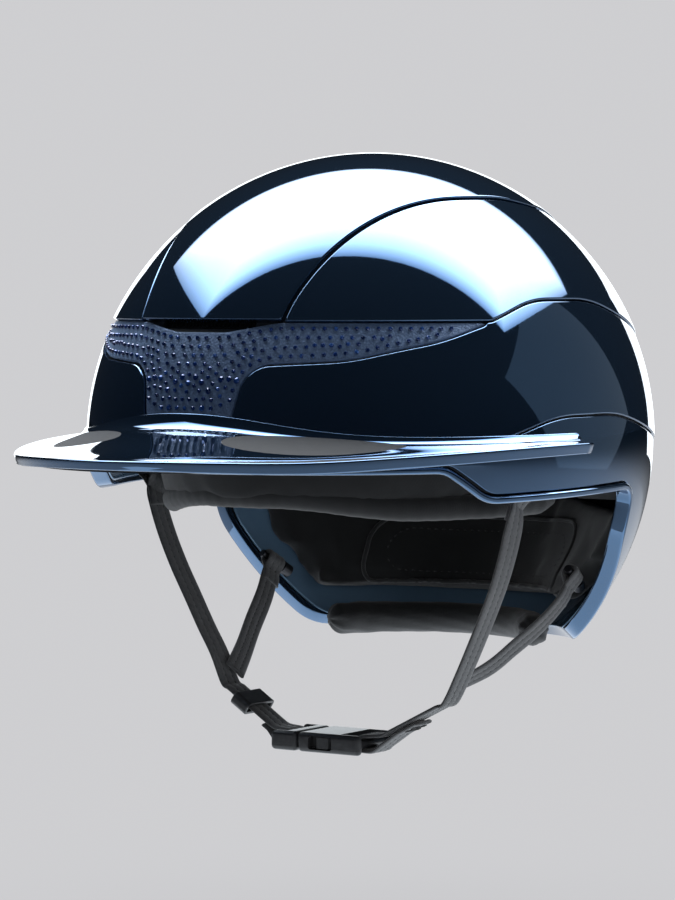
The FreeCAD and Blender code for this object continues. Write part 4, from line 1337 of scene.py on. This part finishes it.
def make_prong(side, body_name, name, node):
    """Springy arm whose rounded barb fills the side window."""
    outline = [(-14.1, 9.4, 0.9), (-13.0, 8.3, 0.3), (3.5, 8.3, 0.6), (3.5, 10.5, 0.5), (1.5, 13.1, 0.9),
               (-4.5, 13.1, 0.6), (-4.5, 10.5, 0.3), (-13.0, 10.5, 0.3)]
    flat = rounded(outline, math.radians(20))
    count = len(flat)
    verts = [(x, BUCKLE_Y + side * y, BUCKLE_Z + z) for z in (-2.5, 2.5) for x, y in flat]
    faces = [(k, (k + 1) % count, count + (k + 1) % count, count + k) for k in range(count)]
    faces += [tuple(range(count)), tuple(range(count, 2 * count))]
    obj = add_object(name, np.array(verts) * MM, faces)
    face_outwards(obj)
    edged(obj, 0.25)
    finish_piece(obj, BUCKLE_PLASTIC, body_name, "buckle", node)


def make_keeper():
    """Moulded rectangular ring that slides on the strap."""
    top, knee, run = chin_run(BAR_RIGHT)
    top, knee = np.array([-top[0], BUCKLE_Y, top[1]]), np.array([-knee[0], BUCKLE_Y, knee[1]])
    run = np.array([-run[0], 0, run[1]])
    up = np.array([-run[2], 0, run[0]])
    if up[2] < 0:
        up = -up
    across = np.array([0.0, 1.0, 0.0])
    middle = 0.5 * (top + knee)
    outer, inner = (rounded([(x * a, y * b, r) for x, y in ((-1, -1), (1, -1), (1, 1), (-1, 1))],
                            math.radians(15)) for a, b, r in ((10.1, 3.0, 2.2), (8.5, 1.4, 0.5)))
    verts, faces = [], []
    count = len(outer)
    for at in (-4.5, 4.5):
        for loop in (outer, inner):
            verts.extend(middle + run * at + across * a + up * b for a, b in loop)
    for k in range(count):
        m = (k + 1) % count
        faces += [(k, m, 2 * count + m, 2 * count + k), (count + k, 3 * count + k, 3 * count + m, count + m),
                  (k, count + k, count + m, m), (2 * count + k, 2 * count + m, 3 * count + m, 3 * count + k)]
    obj = add_object("strap_keeper", np.array(verts) * MM, faces)
    face_outwards(obj)
    edged(obj, 0.45)
    finish_piece(obj, BUCKLE_PLASTIC, "keeper", "buckle", "strap_divider")


def dress_nodes():
    """Pieces of the CAD model that are shown as they are, with their own finish."""
    finishes = {"outer_shell": SHELL_CORE, "impact_liner": FOAM, "hook_patches": HOOK_FABRIC,
                "brim_lining": BRIM_FABRIC, "hanger_front_left": PIN_METAL, "hanger_rear_left": PIN_METAL,
                "hanger_front_right": PIN_METAL, "hanger_rear_right": PIN_METAL}
    for node, material in finishes.items():
        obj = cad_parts[node]
        obj.data.materials.clear()
        obj.data.materials.append(material)


make_shell()
make_trim()
make_stones()
make_brim()
make_vent("brow_vent_grille", "front_vent_mesh", 49.8, 52.9, -1)
make_vent("rear_vent_grille", "rear_vent_mesh", 34.4, 37.6, 1)
make_headband()
make_brow_roll()
make_crown()
make_occipital()
make_nape()
make_harness()
make_buckle()
make_keeper()
dress_nodes()


# --- stage --------------------------------------------------------------------------------------
AZIMUTH, ELEVATION, DISTANCE = math.radians(33.5), math.radians(2.6), 1.6
FOCAL_PIXELS, FRAME_HEIGHT, SENSOR = 3680.0, 900.0, 36.0
PALE = (0.62, 0.62, 0.637)


FLOOR_BELOW = 0.075    # the hanging harness swings through the space under the helmet


def make_camera():
    back = Vector((math.sin(AZIMUTH) * math.cos(ELEVATION), -math.cos(AZIMUTH) * math.cos(ELEVATION),
                   math.sin(ELEVATION)))
    right = Vector((math.cos(AZIMUTH), math.sin(AZIMUTH), 0))
    up = back.cross(right)
    data = bpy.data.cameras.new("camera")
    data.sensor_width = SENSOR
    data.lens = FOCAL_PIXELS * SENSOR / FRAME_HEIGHT
    data.shift_x = -37.5 / FRAME_HEIGHT
    data.shift_y = -10.0 / FRAME_HEIGHT
    data.clip_end = 50.0
    camera = bpy.data.objects.new("camera", data)
    rotation = Matrix((right, up, back)).transposed().to_4x4()
    camera.matrix_world = Matrix.Translation(back * DISTANCE) @ rotation
    bpy.context.scene.collection.objects.link(camera)
    bpy.context.scene.camera = camera


def studio(right, towards, height):
    """Place given across the photograph's view, towards its camera and up, in metres."""
    x = right * math.cos(AZIMUTH) + towards * math.sin(AZIMUTH)
    y = right * math.sin(AZIMUTH) - towards * math.cos(AZIMUTH)
    return Vector((x, y, height))


def area_light(name, place, target, size, radiance, colour=(1, 1, 1), fades=None, in_gloss=True):
    """Soft box; fades are (distance from its centre as a share, colour) stops towards its rim."""
    data = bpy.data.lights.new(name, "AREA")
    data.shape = "RECTANGLE"
    data.size, data.size_y = size
    data.energy = radiance * math.pi * size[0] * size[1]
    data.color = colour
    if fades:
        data.use_nodes = True
        nodes, links = data.node_tree.nodes, data.node_tree.links
        spot = nodes.new("ShaderNodeNewGeometry")
        centred = nodes.new("ShaderNodeVectorMath")
        centred.operation = "SUBTRACT"
        centred.inputs[1].default_value = (0.5, 0.5, 0)
        size_of = nodes.new("ShaderNodeVectorMath")
        size_of.operation = "ABSOLUTE"
        split = nodes.new("ShaderNodeSeparateXYZ")
        far = nodes.new("ShaderNodeMath")
        far.operation = "MAXIMUM"
        double = nodes.new("ShaderNodeMath")
        double.operation = "MULTIPLY"
        double.inputs[1].default_value = 2.0
        ramp = nodes.new("ShaderNodeValToRGB")
        for k, (at, tint) in enumerate(fades):
            stop = ramp.color_ramp.elements[k] if k < 2 else ramp.color_ramp.elements.new(at)
            stop.position = at
            stop.color = (*tint, 1)
        links.new(spot.outputs["Parametric"], centred.inputs[0])
        links.new(centred.outputs[0], size_of.inputs[0])
        links.new(size_of.outputs[0], split.inputs[0])
        links.new(split.outputs[0], far.inputs[0])
        links.new(split.outputs[1], far.inputs[1])
        links.new(far.outputs[0], double.inputs[0])
        links.new(double.outputs[0], ramp.inputs[0])
        links.new(ramp.outputs["Color"], nodes["Emission"].inputs["Color"])
    light = bpy.data.objects.new(name, data)
    direction = target - place
    across = studio(1, 0, 0)
    z = -direction.normalized()
    x = (across - z * across.dot(z)).normalized()
    y = z.cross(x)
    light.matrix_world = Matrix.Translation(place) @ Matrix((x, y, z)).transposed().to_4x4()
    light.visible_camera = False
    light.visible_glossy = in_gloss
    bpy.context.scene.collection.objects.link(light)
    return light


def make_floor():
    """Pale far away and under the object only a soft shade; reflections see it as dim."""
    level = cad_box[0][2] - FLOOR_BELOW
    half = 12.0
    corners = [(x * half, y * half, level) for x, y in ((-1, -1), (1, -1), (1, 1), (-1, 1))]
    floor = add_object("floor", corners, [(0, 1, 2, 3)])
    s = Shader("floor", Base_Color=(0.20, 0.20, 0.206), Roughness=0.9, Specular_IOR_Level=0.0)
    pale = s.add("ShaderNodeEmission", Color=(*PALE, 1), Strength=1.0)
    distance = s.add("ShaderNodeVectorMath")
    distance.operation = "LENGTH"
    s.link(s.place(), "Vector", distance, "Vector")
    fade = s.add("ShaderNodeMapRange")
    fade.interpolation_type = "SMOOTHSTEP"
    for name, value in (("From Min", 0.03), ("From Max", 0.4), ("To Min", 0.86), ("To Max", 1.0)):
        fade.inputs[name].default_value = value
    s.link(distance, "Value", fade, "Value")
    rays = s.add("ShaderNodeLightPath")
    share = s.add("ShaderNodeMath")
    share.operation = "MULTIPLY"
    s.links.new(fade.outputs["Result"], share.inputs[0])
    s.links.new(rays.outputs["Is Camera Ray"], share.inputs[1])
    mix = s.add("ShaderNodeMixShader")
    s.links.new(share.outputs[0], mix.inputs[0])
    s.links.new(s.main.outputs[0], mix.inputs[1])
    s.links.new(pale.outputs[0], mix.inputs[2])
    out = next(n for n in s.material.node_tree.nodes if n.type == "OUTPUT_MATERIAL")
    s.links.new(mix.outputs[0], out.inputs["Surface"])
    floor.data.materials.append(s.material)


def make_world():
    """Pale all round to the eye, dark to the gloss, so that the shell reflects only the soft boxes."""
    world = bpy.data.worlds.new("world")
    world.use_nodes = True
    nodes, links = world.node_tree.nodes, world.node_tree.links
    pale = nodes["Background"]
    pale.inputs["Color"].default_value = (*PALE, 1)
    dark = nodes.new("ShaderNodeBackground")
    dark.inputs["Color"].default_value = (0.008, 0.011, 0.016, 1)
    mix = nodes.new("ShaderNodeMixShader")
    rays = nodes.new("ShaderNodeLightPath")
    links.new(rays.outputs["Is Camera Ray"], mix.inputs[0])
    links.new(dark.outputs[0], mix.inputs[1])
    links.new(pale.outputs[0], mix.inputs[2])
    links.new(mix.outputs[0], nodes["World Output"].inputs["Surface"])
    bpy.context.scene.world = world


def make_stage():
    bpy.context.scene.view_settings.view_transform = "Standard"
    make_floor()
    make_world()
    top = 1.05
    area_light("overhead", studio(0.27, -0.47, top), studio(0.27, -0.47, 0), (2.8, 1.35), 10.0,
               (0.95, 0.98, 1.0), fades=((0.5, (1, 1, 1)), (1.0, (0.12, 0.14, 0.17)), (0.8, (0.55, 0.58, 0.62))))
    area_light("rear", studio(0.1, -1.5, 0.14), studio(0, 0, 0.1), (1.4, 0.5), 2.2, (0.9, 0.96, 1.0))
    area_light("right", studio(1.5, -0.35, 0.33), studio(0, 0, 0.1), (1.1, 1.35), 0.15, (0.8, 0.92, 1.0))
    low = cad_box[0][2] - FLOOR_BELOW + 0.003
    area_light("under", studio(0.04, 0.05, low), studio(0.04, 0.05, 1), (0.62, 0.5), 0.9, (0.85, 0.93, 1.0))
    area_light("fill_front", studio(-0.2, 1.7, 0.35), studio(0, 0, -0.03), (1.2, 0.8), 1.6, in_gloss=False)
    area_light("fill_right", studio(1.3, 1.1, 0.1), studio(0, 0, -0.05), (0.8, 0.8), 2.2, in_gloss=False)


make_camera()
make_stage()
